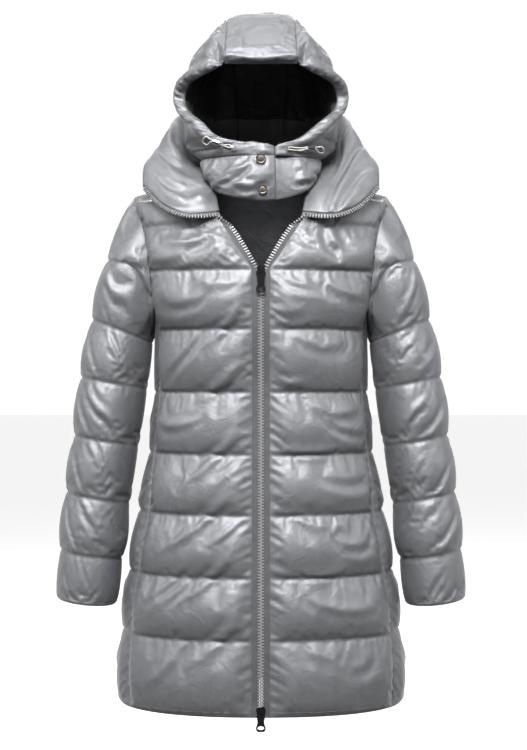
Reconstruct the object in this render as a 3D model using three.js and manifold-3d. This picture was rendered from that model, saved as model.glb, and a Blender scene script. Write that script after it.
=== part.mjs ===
// A hooded, quilted jacket in thin satin, filled out as if worn, with no wearer in it.
// Millimetres, +Z up, the front faces -Y and +X is the wearer's left. The origin is the middle of
// the neck at the height of the shoulders. Each cut piece of cloth is a closed wall: its outer face
// is raised between the quilting lines, and its inner face is plain.
import * as THREE from 'three';
import Module from 'manifold-3d';
import { mergeVertices } from 'three/addons/utils/BufferGeometryUtils.js';

const wasm = await Module();
wasm.setup();

// Driving sizes
const wallThick = 3;
const seamGap = 0.3;
const seamTurn = 0.0034; // half the gap at a torso seam, as a turn in radians round the body
const roundness = 2.3; // power of the torso's rounded section, where 2 is an ellipse
const bodyPuff = 12;
const sidePuff = 4;
const sleevePuff = 8;
const hoodPuff = 7;
const collarPuff = 6;
const fadeLength = 26; // the filling dies away over this length at a seam
const hemZ = -782;
const tapeWide = 12.2;
const tapeThick = 1.2;
const chainProud = 1.3;

// Heights of the quilting lines on the body, from the chest to the hem
const quiltZ = [-85, -150, -235, -325, -414, -500, -588, -676, hemZ];

// Torso sections: half width, depth in front and depth behind the side line
const torsoRows = [
  { z: 10, wide: 188, front: 73, back: 88 },
  { z: -38, wide: 188, front: 80, back: 92 },
  { z: -85, wide: 186, front: 96, back: 105 },
  { z: -150, wide: 181, front: 112, back: 110 },
  { z: -235, wide: 157, front: 116, back: 104 },
  { z: -325, wide: 157, front: 110, back: 96 },
  { z: -414, wide: 165, front: 114, back: 104 },
  { z: -500, wide: 180, front: 120, back: 114 },
  { z: -588, wide: 194, front: 126, back: 122 },
  { z: -676, wide: 204, front: 130, back: 126 },
  { z: -782, wide: 210, front: 132, back: 128 },
];

// Distance of the long edges of the front and back from the centre: armhole, then side seam
const seamRows = [
  { z: -35, front: 188, back: 188 },
  { z: -60, front: 181, back: 183 },
  { z: -89, front: 171, back: 175 },
  { z: -127, front: 165, back: 168 },
  { z: -150, front: 163, back: 165 },
  { z: -170, front: 160, back: 161 },
  { z: -190, front: 157, back: 157 },
  { z: -235, front: 149.5, back: 144 },
  { z: -325, front: 148, back: 141 },
  { z: -414, front: 156, back: 147 },
  { z: -500, front: 163, back: 158 },
  { z: -588, front: 178, back: 170 },
  { z: -676, front: 190, back: 180 },
  { z: -782, front: 191, back: 184 },
];

// Inner edge of a front: neckline, then the opened zip, then the closed zip
const frontEdgeRows = [
  { z: 6, x: 72 },
  { z: -18, x: 69.5 },
  { z: -45, x: 64 },
  { z: -73, x: 58 },
  { z: -87, x: 52 },
  { z: -102, x: 42 },
  { z: -128, x: 26 },
  { z: -148, x: 13.2 },
  { z: -160, x: 12.5 },
  { z: -782, x: 12.5 },
];

const shoulder = { innerX: 72, innerZ: 5, outerX: 188, outerZ: -33, roundOver: 90, soften: 20 };
const neckBack = { z: -10, rise: 15 };
const armholeFoot = { z: -200, dip: 36 };

// Sleeve sections at its quilting lines: outer and inner points, and how far forward it hangs
const sleeveRows = [
  { outX: 231, outZ: -129, inX: 163, inZ: -150, depth: 57, y: 0 },
  { outX: 254, outZ: -217.5, inX: 163.4, inZ: -252, depth: 55, y: -2 },
  { outX: 271, outZ: -303, inX: 171.5, inZ: -321, depth: 56, y: -5 },
  { outX: 280.5, outZ: -389, inX: 184, inZ: -405, depth: 55, y: -9 },
  { outX: 291, outZ: -472, inX: 197, inZ: -489, depth: 53.5, y: -14 },
  { outX: 300, outZ: -556.5, inX: 207.5, inZ: -570, depth: 52.5, y: -20 },
  { outX: 304, outZ: -628, inX: 216.5, inZ: -638, depth: 50, y: -25 },
];

// Collar ribs from the zip edge round to the middle of the back, each from its foot to its top
const collarRibs = [
  { foot: 0, low: [84, -97, -68], crease: [112, -96, -67], high: [145, -77, -51], top: [173, -48, -20] },
  { foot: 0.3, low: [84, -78, -38], crease: [112, -67, -29], high: [146, -45, -10], top: [173, -24, 10] },
  { foot: 0.65, low: [91, -33, 0], crease: [116, -23, 9], high: [144, -6, 26], top: [165, 8, 36] },
  { foot: 1, low: [93, 5, 11], crease: [114, 13, 27], high: [136, 24, 50], top: [150, 33, 66] },
  { foot: 1.33, low: [79, 45, 11], crease: [103, 60, 31], high: [122, 76, 59], top: [134, 84, 88] },
  { foot: 1.67, low: [45, 75, 7], crease: [57, 101, 31], high: [68, 122, 68], top: [74, 128, 104] },
  { foot: 2, low: [0, 89, 6], crease: [0, 109, 31], high: [0, 127, 69], top: [0, 134, 111] },
];

// The hood's middle strip in profile, from the brim over the crown to the neck
const stripRows = [
  { k: 0, y: -92, z: 146, half: 52, crown: 1 },
  { k: 1, y: -97, z: 164, half: 52, crown: 2 },
  { k: 2, y: -45, z: 217, half: 51, crown: 6 },
  { k: 3, y: 10, z: 243, half: 50, crown: 8 },
  { k: 4, y: 70, z: 224, half: 46, crown: 7 },
  { k: 5, y: 108, z: 165, half: 42, crown: 5 },
  { k: 6, y: 112, z: 100, half: 38, crown: 5 },
  { k: 7, y: 93, z: 48, half: 34, crown: 6 },
  { k: 8, y: 66, z: -4, half: 30, crown: 9 },
];
const stripQuilt = [0, 1, 2, 3.3, 4.5, 5.65, 6.9, 8];

// Hood side ribs: the face opening, three places round the side, and where the strip is met
const hoodRibs = [
  { edge: [55.6, -89, 144.6], near: [55.8, -90, 145.8], side: [55.8, -91, 147], far: [55.2, -93, 148.4], k: 0.18 },
  { edge: [76, -79, 136], near: [84, -74, 160], side: [80, -66, 182], far: [68, -62, 196], k: 1.6 },
  { edge: [102, -61, 125], near: [110, -45, 150], side: [99, -25, 182], far: [79, -5, 211], k: 3 },
  { edge: [111, -50, 108], near: [119, -15, 132], side: [103, 25, 172], far: [79, 55, 202], k: 4 },
  { edge: [105, -58, 87], near: [119, -18, 100], side: [110, 40, 130], far: [83, 86, 152], k: 5 },
  { edge: [84, -76, 66], near: [112, -35, 66], side: [110, 42, 84], far: [78, 98, 96], k: 6 },
  { edge: [55, -88, 41], near: [103, -45, 40], side: [102, 25, 45], far: [72, 78, 46], k: 7 },
  { edge: [0, -95, 29], near: [84, -60, 25], side: [91, 8, 31], far: [64, 52, 19], k: 7.6 },
  { edge: [0, -97, 15], near: [78, -64, 15], side: [84, -6, 19], far: [58, 32, 8], k: 8 },
];
const hoodChannel = 20; // width of the cord channel round the face
const hoodLap = { over: -18.6, under: 19.1 };

// Lower edge of the chin guard, from the front round to the side
const guardFoot = [
  [0, -97, -51],
  [49, -91, -43],
  [71.5, -66, -26],
  [73.5, -42, 4],
  [73, -5, 13.5],
];
const guardLap = { over: -18.6, under: -8, sink: 5.2 };
const headAxis = { y: 10, topZ: 120 }; // seams of the hood face away from this upright line
const armAxis = { x: 110, z: -160 }; // and the armhole's away from this level one
const snapPlaces = [
  { name: 'snap_upper', x: 0, z: 9, radius: 7 },
  { name: 'snap_lower', x: 2.5, z: -35, radius: 6.5 },
];
const snapDip = 15; // the filling is pressed flat within this distance of a snap

// The zip: distance of each half's chain from the centre, parted below and above its two sliders
const openTeeth = [
  { z: -783, x: 3.4 },
  { z: -779, x: 2.3 },
  { z: -775, x: 0.5 },
  { z: -771, x: 0.15 },
  { z: -159, x: 0.15 },
  { z: -154.5, x: 0.8 },
  { z: -150, x: 3.1 },
  { z: -145, x: 6 },
  { z: -138, x: 9.8 },
  { z: -127, x: 16 },
  { z: -102, x: 31 },
  { z: -85, x: 42.5 },
];
const collarTapeWide = 8;
const slider = { wide: 11.5, bulge: 14, tall: 15, plate: 1.6, chainGap: 5.2, tapeGap: 2.4, chainWide: 9.4 };
const sliderPlaces = [
  { end: 'top', z: -153.3, way: 1, axisUp: 2.8, pullLong: 34.5 },
  { end: 'bottom', z: -774.5, way: -1, axisUp: 5, pullLong: 31 },
];
const bail = { wide: 2.4, reach: 4.9, thick: 1.7, above: 3.2, below: 4.6, axisOut: 1.6 };
const pull = { neck: 10.4, ring: 13.8, thick: 1.7, bar: 0.8, slotHalf: 2.5, slotDeep: 6.8, holeWide: 9.6, holeTall: 5.6 };

// Cords of the hood: where each comes out, and where its toggle sits
const cordWide = 2;
const cordPlaces = [
  { name: 'left', exit: [39.5, 25], toggle: [70, 26.5] },
  { name: 'right', exit: [-38.5, 25], toggle: [-63.5, 33.5] },
];
const toggle = { long: 10, wide: 8.6, deep: 6, slotWide: 5.4, slotDeep: 2.7 };
const cordLoop = { apart: 1.25, radius: 4.2, beyond: 11 };
const cordHeights = { toggleLift: 0.3, overRim: 2.2, free: 0.8 };
const buttonhole = { long: 9, wide: 8, thick: 0.5, slotLong: 6.4, slotWide: 5.6 };

const finish = {
  shell: { color: 0xa3a5a8, roughness: 0.38, metalness: 0 },
  tape: { color: 0x8a8b8e, roughness: 0.7, metalness: 0 },
  slider: { color: 0x17181a, roughness: 0.25, metalness: 0.6 },
  snap: { color: 0x8d8579, roughness: 0.35, metalness: 0.9 },
  toggle: { color: 0xb9bbbe, roughness: 0.25, metalness: 1 },
  cord: { color: 0xe4e0d6, roughness: 0.8, metalness: 0 },
};

const jacket = new THREE.Group();

function addMesh(name, geometry, kind) {
  geometry.deleteAttribute('normal');
  geometry.deleteAttribute('uv');
  const plain = mergeVertices(geometry, 1e-4);
  plain.computeVertexNormals();
  const mesh = new THREE.Mesh(plain, new THREE.MeshStandardMaterial(finish[kind]));
  mesh.name = name;
  jacket.add(mesh);
  return mesh;
}

// Numbers and curves
function clamp(value, low, high) {
  return Math.min(Math.max(value, low), high);
}

function mix(a, b, share) {
  return a + (b - a) * share;
}

function smooth(low, high, value) {
  const t = clamp((value - low) / (high - low), 0, 1);
  return t * t * (3 - 2 * t);
}

// Value of one named column of a table, smooth between its rows
function column(rows, along, name, at) {
  const way = Math.sign(rows[rows.length - 1][along] - rows[0][along]);
  let i = 0;
  while (i < rows.length - 2 && (at - rows[i + 1][along]) * way > 0) {
    i += 1;
  }
  const slope = (k) => {
    const a = rows[Math.max(k - 1, 0)];
    const b = rows[Math.min(k + 1, rows.length - 1)];
    return (b[name] - a[name]) / (b[along] - a[along]);
  };
  const [a, b] = [rows[i], rows[i + 1]];
  const span = b[along] - a[along];
  const t = clamp((at - a[along]) / span, 0, 1);
  const blend = t * t * (3 - 2 * t);
  return (
    mix(a[name], b[name], blend) +
    span * (slope(i) * t * (1 - t) ** 2 - slope(i + 1) * t * t * (1 - t))
  );
}

// Point on a smooth curve through points one step apart
function through(points, t) {
  const last = points.length - 1;
  const i = clamp(Math.floor(t), 0, last - 1);
  const at = (k) => points[clamp(k, 0, last)];
  const s = clamp(t, 0, last) - i;
  const value = (axis) => {
    const [p0, p1, p2, p3] = [at(i - 1)[axis], at(i)[axis], at(i + 1)[axis], at(i + 2)[axis]];
    const bend = 2 * p0 - 5 * p1 + 4 * p2 - p3;
    const turn = 3 * p1 - p0 - 3 * p2 + p3;
    return p1 + 0.5 * s * (p2 - p0 + s * (bend + s * turn));
  };
  return new THREE.Vector3(value('x'), value('y'), value('z'));
}

function point(list) {
  return new THREE.Vector3(...list);
}

function mirrored(p, side) {
  return new THREE.Vector3(p.x * side, p.y, p.z);
}

// Evenly spaced stops from 0 to 1
function even(count) {
  return Array.from({ length: count + 1 }, (_, i) => i / count);
}

// Stops from 0 to 1 that are close together at both ends, where the filling dies away
function seamStops(count) {
  return even(count).map((t) => mix(t, (1 - Math.cos(Math.PI * t)) / 2, 0.55));
}

// Stops down a quilted piece: a few within each baffle
function baffleStops(lines, within) {
  const stops = [lines[0]];
  for (let i = 1; i < lines.length; i += 1) {
    for (const t of within) {
      stops.push(mix(lines[i - 1], lines[i], t));
    }
  }
  return stops;
}

// How full a baffle is at a place between its two quilting lines, fuller low down
function fullness(t) {
  return Math.sin(Math.PI * clamp(t, 0, 1) ** 1.12) ** 0.72;
}

// Fullness at a place down a piece, from its list of quilting lines
function baffle(lines, at) {
  for (let i = 1; i < lines.length; i += 1) {
    if (at <= lines[i]) {
      return fullness((at - lines[i - 1]) / (lines[i] - lines[i - 1]));
    }
  }
  return 0;
}

// How much of the filling is left at a distance from a seam
function fade(distance) {
  return Math.sin((Math.PI / 2) * clamp(distance / fadeLength, 0, 1)) ** 0.8;
}

// Triangles between two lines of points, which need not hold the same number of them
function strip(faces, a, b) {
  let i = 0;
  let j = 0;
  while (i < a.length - 1 || j < b.length - 1) {
    const nextA = i < a.length - 1 ? a[i + 1].at : Infinity;
    const nextB = j < b.length - 1 ? b[j + 1].at : Infinity;
    if (nextA <= nextB) {
      faces.push(a[i].index, b[j].index, a[i + 1].index);
      i += 1;
    } else {
      faces.push(a[i].index, b[j].index, b[j + 1].index);
      j += 1;
    }
  }
}

function signedVolume(points, faces) {
  let total = 0;
  for (let i = 0; i < faces.length; i += 3) {
    const [a, b, c] = [points[faces[i]], points[faces[i + 1]], points[faces[i + 2]]];
    total += a.dot(b.clone().cross(c));
  }
  return total / 6;
}

// A closed wall from a surface over u (across) and v (down). rise and drop are how far its two
// faces stand from the surface, and a ring has no side edges. At a seam that turns a corner, lean
// gives both pieces the same direction for their edges, so that they meet face to face.
function wall(piece) {
  const { surface, rise, drop, across, down, innerAcross, innerDown, lean, flip = 1, ring = false } = piece;
  const { firstAcross = across, firstInnerAcross = innerAcross } = piece;
  const points = [];
  const faces = [];
  const step = 1e-3;
  const uEnds = ring ? [-Infinity, Infinity] : [across[0], across[across.length - 1]];
  const vEnds = [down[0], down[down.length - 1]];
  const normalAt = (u, v) => {
    const seam = lean ? lean(u, v) : null;
    if (seam) {
      return seam.normalize();
    }
    const alongU = surface(Math.min(u + step, uEnds[1]), v).sub(surface(Math.max(u - step, uEnds[0]), v));
    const alongV = surface(u, Math.min(v + step, vEnds[1])).sub(surface(u, Math.max(v - step, vEnds[0])));
    return alongU.cross(alongV).normalize().multiplyScalar(flip);
  };
  const grid = (us, firstUs, vs, offset) =>
    vs.map((v, k) => {
      const all = k === 0 ? firstUs : us;
      const stops = ring ? all.slice(0, -1) : all;
      const row = stops.map((u) => {
        points.push(surface(u, v).addScaledVector(normalAt(u, v), offset(u, v)));
        return { index: points.length - 1, at: u };
      });
      if (ring) {
        row.push({ index: row[0].index, at: all[all.length - 1] });
      }
      return row;
    });
  const outer = grid(across, firstAcross, down, rise);
  const inner = grid(innerAcross, firstInnerAcross, innerDown, (u, v) => -drop(u, v));
  for (let i = 1; i < outer.length; i += 1) {
    strip(faces, outer[i - 1], outer[i]);
  }
  for (let i = 1; i < inner.length; i += 1) {
    strip(faces, inner[i], inner[i - 1]);
  }
  strip(faces, inner[0], outer[0]);
  strip(faces, outer[outer.length - 1], inner[inner.length - 1]);
  if (!ring) {
    const side = (rows, stops, pick) => rows.map((row, i) => ({ ...pick(row), at: stops[i] }));
    const first = (row) => row[0];
    const last = (row) => row[row.length - 1];
    strip(faces, side(outer, down, first), side(inner, innerDown, first));
    strip(faces, side(inner, innerDown, last), side(outer, down, last));
  }
  if (signedVolume(points, faces) < 0) {
    for (let i = 0; i < faces.length; i += 3) {
      [faces[i + 1], faces[i + 2]] = [faces[i + 2], faces[i + 1]];
    }
  }
  const geometry = new THREE.BufferGeometry();
  geometry.setAttribute('position', new THREE.Float32BufferAttribute(points.flatMap((p) => p.toArray()), 3));
  geometry.setIndex(faces);
  return geometry;
}

// Torso
function shoulderZ(x) {
  const { innerX, innerZ, outerX, outerZ, soften } = shoulder;
  const away = (value) => Math.hypot(value, soften);
  return mix(innerZ, outerZ, (away(x) - away(innerX)) / (away(outerX) - away(innerX)));
}

function turnOf(x, z) {
  return Math.asin(clamp(x / column(torsoRows, 'z', 'wide', z), 0, 1) ** (roundness / 2));
}

// Point of the torso at a turn from the centre line: 0 in front, a half turn behind
function torsoPoint(turn, z, widthZ = z) {
  const power = 2 / roundness;
  const behind = Math.cos(turn) < 0;
  const x = column(torsoRows, 'z', 'wide', widthZ) * Math.abs(Math.sin(turn)) ** power * Math.sign(turn);
  return { x, lean: Math.abs(Math.cos(turn)) ** power, behind, z };
}

function torsoDepth(place, z) {
  const fall = clamp((shoulderZ(place.x) - z) / shoulder.roundOver, 0, 1);
  const round = Math.sqrt(1 - (1 - fall) ** 2);
  const depth = column(torsoRows, 'z', place.behind ? 'back' : 'front', z);
  const apart = place.behind ? seamGap / 2 : -seamGap / 2;
  return (place.behind ? 1 : -1) * depth * place.lean * round + apart;
}

// Height of row v at a place across: the top row follows the shoulder, later rows are level
function rowZ(v, topZ) {
  if (v < 1) {
    return mix(topZ, quiltZ[0], 1 - Math.cos((v * Math.PI) / 2));
  }
  const i = Math.min(Math.floor(v), quiltZ.length - 1);
  return mix(quiltZ[i - 1], quiltZ[i], v - i);
}

function frontSurface(side) {
  return (u, v) => {
    const inZ = rowZ(v, shoulder.innerZ);
    const outZ = rowZ(v, shoulder.outerZ);
    const inTurn = turnOf(column(frontEdgeRows, 'z', 'x', inZ), inZ);
    const outTurn = turnOf(column(seamRows, 'z', 'front', outZ), outZ) - seamTurn;
    const place = torsoPoint(mix(inTurn, outTurn, u), 0, mix(inZ, outZ, u));
    const z = rowZ(v, shoulderZ(place.x));
    return new THREE.Vector3(side * place.x, torsoDepth(place, z), z);
  };
}

function backSurface(u, v) {
  const outZ = rowZ(v, shoulder.outerZ);
  const edge = turnOf(column(seamRows, 'z', 'back', outZ), outZ) - seamTurn;
  const place = torsoPoint(u * edge, 0, outZ);
  place.behind = true;
  const neck = neckBack.z + neckBack.rise * (place.x / shoulder.innerX) ** 2;
  const topZ = Math.abs(place.x) < shoulder.innerX ? neck : shoulderZ(place.x);
  const z = rowZ(v, topZ);
  return new THREE.Vector3(place.x, torsoDepth(place, z), z);
}

// Side panel: v runs from its top edge, under the arm, to the hem
const sideLines = [armholeFoot.z, ...quiltZ.slice(3)];

function sideSurface(side) {
  return (u, v) => {
    const top = armholeFoot.z - armholeFoot.dip * Math.sin(Math.PI * clamp(u, 0, 1)) ** 0.8;
    const i = clamp(Math.floor(v), 0, sideLines.length - 2);
    const z = mix(i === 0 ? top : sideLines[i], sideLines[i + 1], v - i);
    const front = turnOf(column(seamRows, 'z', 'front', z), z) + seamTurn;
    const back = Math.PI - turnOf(column(seamRows, 'z', 'back', z), z) - seamTurn;
    const place = torsoPoint(mix(front, back, u), z);
    const clear = place.behind ? -seamGap / 2 : seamGap / 2;
    return new THREE.Vector3(side * place.x, torsoDepth(place, z) + clear, z);
  };
}

const bodyLines = Array.from({ length: quiltZ.length + 1 }, (_, i) => i);
const yokeRamp = 0.7; // the filling of the top baffle is thin as far as this share of it
const onArmhole = (p) => p.z > armholeFoot.z - 1;
const within = [0.18, 0.5, 0.82, 1];
const plainWithin = [0.5, 1];

// Direction of the cloth's edge at the armhole, and at the hood's seams
function armholeLean(p) {
  return new THREE.Vector3(p.x - Math.sign(p.x) * armAxis.x, p.y, p.z - armAxis.z);
}

function hoodLean(p) {
  return new THREE.Vector3(p.x, p.y - headAxis.y, p.z - Math.min(p.z, headAxis.topZ));
}

const bodyStops = baffleStops(bodyLines, within);
const bodyInnerStops = baffleStops(bodyLines, plainWithin);
const sideAcross = seamStops(6);
const sideInnerAcross = seamStops(4);

function frontPanel(name, side) {
  const surface = frontSurface(side);
  const rise = (u, v) => {
    const wide = Math.abs(surface(1, v).x - surface(0, v).x) * 1.15;
    const yoke = smooth(0, yokeRamp, v);
    return bodyPuff * baffle(bodyLines, v) * fade(u * wide) * fade((1 - u) * wide) * yoke;
  };
  const geometry = wall({
    surface,
    rise,
    drop: () => wallThick,
    lean: (u, v) => (u === 1 && onArmhole(surface(u, v)) ? armholeLean(surface(u, v)) : null),
    across: seamStops(8),
    down: bodyStops,
    innerAcross: seamStops(5),
    innerDown: bodyInnerStops,
    flip: -side,
  });
  addMesh(name, geometry, 'shell');
}

function backPanel() {
  const rise = (u, v) => {
    const half = Math.abs(backSurface(1, v).x) * 1.15;
    return bodyPuff * baffle(bodyLines, v) * fade((1 - Math.abs(u)) * half) * smooth(0, yokeRamp, v);
  };
  const lean = (u, v) => {
    const p = backSurface(u, v);
    return Math.abs(u) === 1 && onArmhole(p) ? armholeLean(p) : null;
  };
  const across = seamStops(16).map((t) => 2 * t - 1);
  const geometry = wall({
    surface: backSurface,
    rise,
    drop: () => wallThick,
    lean,
    across,
    down: bodyStops,
    innerAcross: seamStops(10).map((t) => 2 * t - 1),
    innerDown: bodyInnerStops,
    flip: 1,
  });
  addMesh('back', geometry, 'shell');
}

function sidePanel(name, side) {
  const lines = sideLines.map((_, i) => i);
  const surface = sideSurface(side);
  const rise = (u, v) => {
    const wide = surface(0, v).distanceTo(surface(1, v)) * 1.1;
    const most = mix(sidePuff, bodyPuff * 0.75, smooth(1.6, 4.5, v));
    return most * baffle(lines, v) * fade(u * wide) * fade((1 - u) * wide);
  };
  const geometry = wall({
    surface,
    rise,
    drop: () => wallThick,
    lean: (u, v) => (v === 0 ? armholeLean(surface(u, v)) : null),
    across: sideAcross,
    down: baffleStops(lines, within),
    innerAcross: sideInnerAcross,
    innerDown: baffleStops(lines, plainWithin),
    flip: -side,
  });
  addMesh(name, geometry, 'shell');
}

// Sleeve
const halfTurn = Math.PI;

const armholeTop = shoulder.outerZ;
const armholeLow = armholeFoot.z - armholeFoot.dip;

// Height on the armhole at an angle round it, and the angle at a height
function armholeZ(round) {
  if (round < halfTurn / 2) {
    return mix(quiltZ[1], armholeTop, Math.cos(round));
  }
  return mix(quiltZ[1], armholeLow, Math.sin(round - halfTurn / 2));
}

function armholeAngle(z) {
  if (z > quiltZ[1]) {
    return Math.acos(clamp((z - quiltZ[1]) / (armholeTop - quiltZ[1]), 0, 1));
  }
  return halfTurn / 2 + Math.asin(clamp((z - quiltZ[1]) / (armholeLow - quiltZ[1]), 0, 1));
}

// Stops round the sleeve's top edge at the very points where the body's pieces have theirs
function armholeStops(rows, across) {
  const heights = rows.map((v) => rowZ(v, shoulder.outerZ)).filter((z) => z >= armholeFoot.z);
  const foot = across.map((u) => armholeFoot.z - armholeFoot.dip * Math.sin(Math.PI * u) ** 0.8);
  const front = foot.filter((_, i) => across[i] > 0 && across[i] <= 0.5);
  const back = foot.filter((_, i) => across[i] > 0.5 && across[i] < 1);
  const down = [...heights, armholeFoot.z, ...front].map(armholeAngle);
  const up = [...heights, armholeFoot.z, ...back.reverse()].map(armholeAngle);
  const full = 2 * halfTurn;
  return [...down, ...up.map((angle) => full - angle).reverse()].map((angle) => angle / full);
}

// Armhole at an angle round it: 0 at the shoulder, a half turn under the arm, then up the back
function armholePoint(angle) {
  const z = armholeZ(Math.abs(angle));
  const behind = angle < 0;
  let turn = turnOf(column(seamRows, 'z', behind ? 'back' : 'front', z), z);
  if (behind) {
    turn = Math.PI - turn;
  }
  if (z < armholeFoot.z) {
    const front = turnOf(column(seamRows, 'z', 'front', z), z);
    const back = Math.PI - turnOf(column(seamRows, 'z', 'back', z), z);
    const share = Math.asin(clamp((armholeFoot.z - z) / armholeFoot.dip, 0, 1) ** 1.25) / Math.PI;
    turn = behind ? mix(back, front, share) : mix(front, back, share);
  }
  const place = torsoPoint(turn, z);
  return new THREE.Vector3(place.x, torsoDepth(place, z), z);
}

function sleeveRing(row, angle) {
  const middle = new THREE.Vector3((row.outX + row.inX) / 2, row.y, (row.outZ + row.inZ) / 2);
  const reach = new THREE.Vector3((row.outX - row.inX) / 2, 0, (row.outZ - row.inZ) / 2);
  const side = new THREE.Vector3(0, -row.depth * Math.sin(angle), 0);
  return middle.addScaledVector(reach, Math.cos(angle)).add(side);
}

// The ring on the armhole, the one where the cap ends, and the plain ones below
function sleeveSection(index, angle) {
  if (index <= 0) {
    const p = armholePoint(angle);
    const under = Math.sin(angle / 2) ** 2;
    return p.add(new THREE.Vector3(1.9 * seamGap, 0.5 * seamGap * Math.sin(angle), 1.2 * seamGap * under));
  }
  const ring = sleeveRing(sleeveRows[Math.min(index, sleeveRows.length) - 1], angle);
  if (index > 1) {
    return ring;
  }
  const round = Math.abs(angle);
  const hug = armholePoint(angle).add(new THREE.Vector3(7, 0, -8 * smooth(1.6, 2.8, round)));
  return ring.lerp(hug, smooth(1.25, 2.3, round));
}

function sleeveSurface(side) {
  return (u, v) => {
    const angle = (u <= 0.5 ? u : u - 1) * 2 * halfTurn;
    const wrapped = ((((angle + halfTurn) % (2 * halfTurn)) + 2 * halfTurn) % (2 * halfTurn)) - halfTurn;
    const i = clamp(Math.floor(v), 0, sleeveRows.length - 1);
    const rings = [-1, 0, 1, 2].map((k) =>
      sleeveSection(clamp(i + k, 0, sleeveRows.length), wrapped),
    );
    return mirrored(through(rings, 1 + v - i), side);
  };
}

function sleeve(name, side) {
  const lines = Array.from({ length: sleeveRows.length + 1 }, (_, i) => i);
  const rise = (u, v) => {
    const inner = 0.5 - 0.5 * Math.cos(u * 2 * halfTurn); // 1 beside the body
    const most = mix(sleevePuff, 1.8, smooth(0.55, 0.95, inner) * smooth(6, 4.5, v));
    const shallow = v < 1 ? 0.8 : 1;
    const cuff = v > lines.length - 2 ? 0.55 : 1;
    return most * baffle(lines, v) * shallow * cuff;
  };
  const surface = sleeveSurface(side);
  const geometry = wall({
    surface,
    rise,
    drop: () => wallThick,
    lean: (u, v) => (v === 0 ? armholeLean(surface(u, v)) : null),
    across: even(18),
    firstAcross: armholeStops(bodyStops, sideAcross),
    down: baffleStops(lines, within),
    innerAcross: even(12),
    firstInnerAcross: armholeStops(bodyInnerStops, sideInnerAcross),
    innerDown: baffleStops(lines, plainWithin),
    flip: side,
    ring: true,
  });
  addMesh(name, geometry, 'shell');
}

// Neckline: 0 at the front corner, 1 at the shoulder, 2 at the middle of the back
function necklinePoint(t) {
  if (t <= 1) {
    const frontCorner = 0.86; // row of the front where the neckline meets the opened zip
    return frontSurface(1)(0, frontCorner * (1 - t));
  }
  const edge = turnOf(shoulder.innerX, shoulder.outerZ) / turnOf(shoulder.outerX, shoulder.outerZ);
  return backSurface(edge * (2 - t), 0);
}

function collarFoot(t) {
  const up = smooth(0, 0.8, t);
  const lift = new THREE.Vector3(0.1, -1, 0.2).lerp(new THREE.Vector3(0, 0, 1), up).normalize();
  return necklinePoint(t).addScaledVector(lift, wallThick / 2 + 0.8);
}

function collarSurface(u, v) {
  const side = u < 0 ? -1 : 1;
  const ribAt = (1 - Math.abs(u)) * (collarRibs.length - 1);
  const curve = (rib) => {
    const foot = collarFoot(rib.foot);
    return through([foot, point(rib.low), point(rib.crease), point(rib.high), point(rib.top)], v * 4);
  };
  const i = clamp(Math.floor(ribAt), 0, collarRibs.length - 2);
  const last = collarRibs.length - 1;
  const around = [-1, 0, 1, 2].map((k) => {
    const at = i + k;
    if (at > last) {
      return mirrored(curve(collarRibs[2 * last - at]), -1);
    }
    return curve(collarRibs[Math.max(at, 0)]);
  });
  return mirrored(through(around, 1 + ribAt - i), side);
}

const collarLines = [0, 0.46, 1];
const collarStops = baffleStops(collarLines, [0.15, 0.4, 0.7, 0.88, 1]);

function collar() {
  const lines = collarLines;
  const zipFade = (u) => fade((1 - Math.abs(u)) * 330);
  const face = (most, lowShare) => (u, v) => {
    const full = v < lines[1] ? lowShare : 1;
    return wallThick / 2 + most * full * baffle(lines, v) * zipFade(u);
  };
  const across = seamStops(28).map((t) => 2 * t - 1);
  const geometry = wall({
    surface: collarSurface,
    rise: face(collarPuff, 0.3),
    drop: face(collarPuff * 0.6, 0.1),
    across,
    down: collarStops,
    innerAcross: across,
    innerDown: collarStops,
    flip: 1,
  });
  addMesh('collar', geometry, 'shell');
}

// Hood
function stripPoint(u, k) {
  const y = column(stripRows, 'k', 'y', k);
  const z = column(stripRows, 'k', 'z', k);
  const step = 0.01;
  const dy = column(stripRows, 'k', 'y', k + step) - column(stripRows, 'k', 'y', k - step);
  const dz = column(stripRows, 'k', 'z', k + step) - column(stripRows, 'k', 'z', k - step);
  const long = Math.hypot(dy, dz);
  const sink = column(stripRows, 'k', 'crown', k) * u * u;
  const half = column(stripRows, 'k', 'half', k);
  return new THREE.Vector3(half * u, y + (sink * dz) / long, z - (sink * dy) / long);
}

function hoodCenter() {
  const across = seamStops(8).map((t) => 2 * t - 1);
  const rise = (u, k) => {
    const half = column(stripRows, 'k', 'half', k);
    const most = k < 1 ? 3 : hoodPuff;
    return most * baffle(stripQuilt, k) * fade((1 - Math.abs(u)) * half);
  };
  const geometry = wall({
    surface: stripPoint,
    rise,
    drop: () => wallThick,
    lean: (u, k) => (Math.abs(u) === 1 ? hoodLean(stripPoint(u, k)) : null),
    across,
    down: baffleStops(stripQuilt, within),
    innerAcross: seamStops(4).map((t) => 2 * t - 1),
    innerDown: baffleStops(stripQuilt, plainWithin),
    flip: 1,
  });
  addMesh('hood_center', geometry, 'shell');
}

// u runs from the face opening, at 0, round to the strip, at 4, and v from the brim's corner down to
// the neck. Under the chin a side starts at its lap, which is u = lap / chinStep.
const chinStep = hoodRibs[hoodRibs.length - 1].near[0];
const stripSide = 4;

// Place along the strip that a side's row meets, and the row that meets a place
function metAt(v) {
  const i = clamp(Math.floor(v), 0, hoodRibs.length - 2);
  return mix(hoodRibs[i].k, hoodRibs[i + 1].k, v - i);
}

function rowMeeting(k) {
  let i = 0;
  while (i < hoodRibs.length - 2 && hoodRibs[i + 1].k < k) {
    i += 1;
  }
  return i + (k - hoodRibs[i].k) / (hoodRibs[i + 1].k - hoodRibs[i].k);
}

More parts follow.
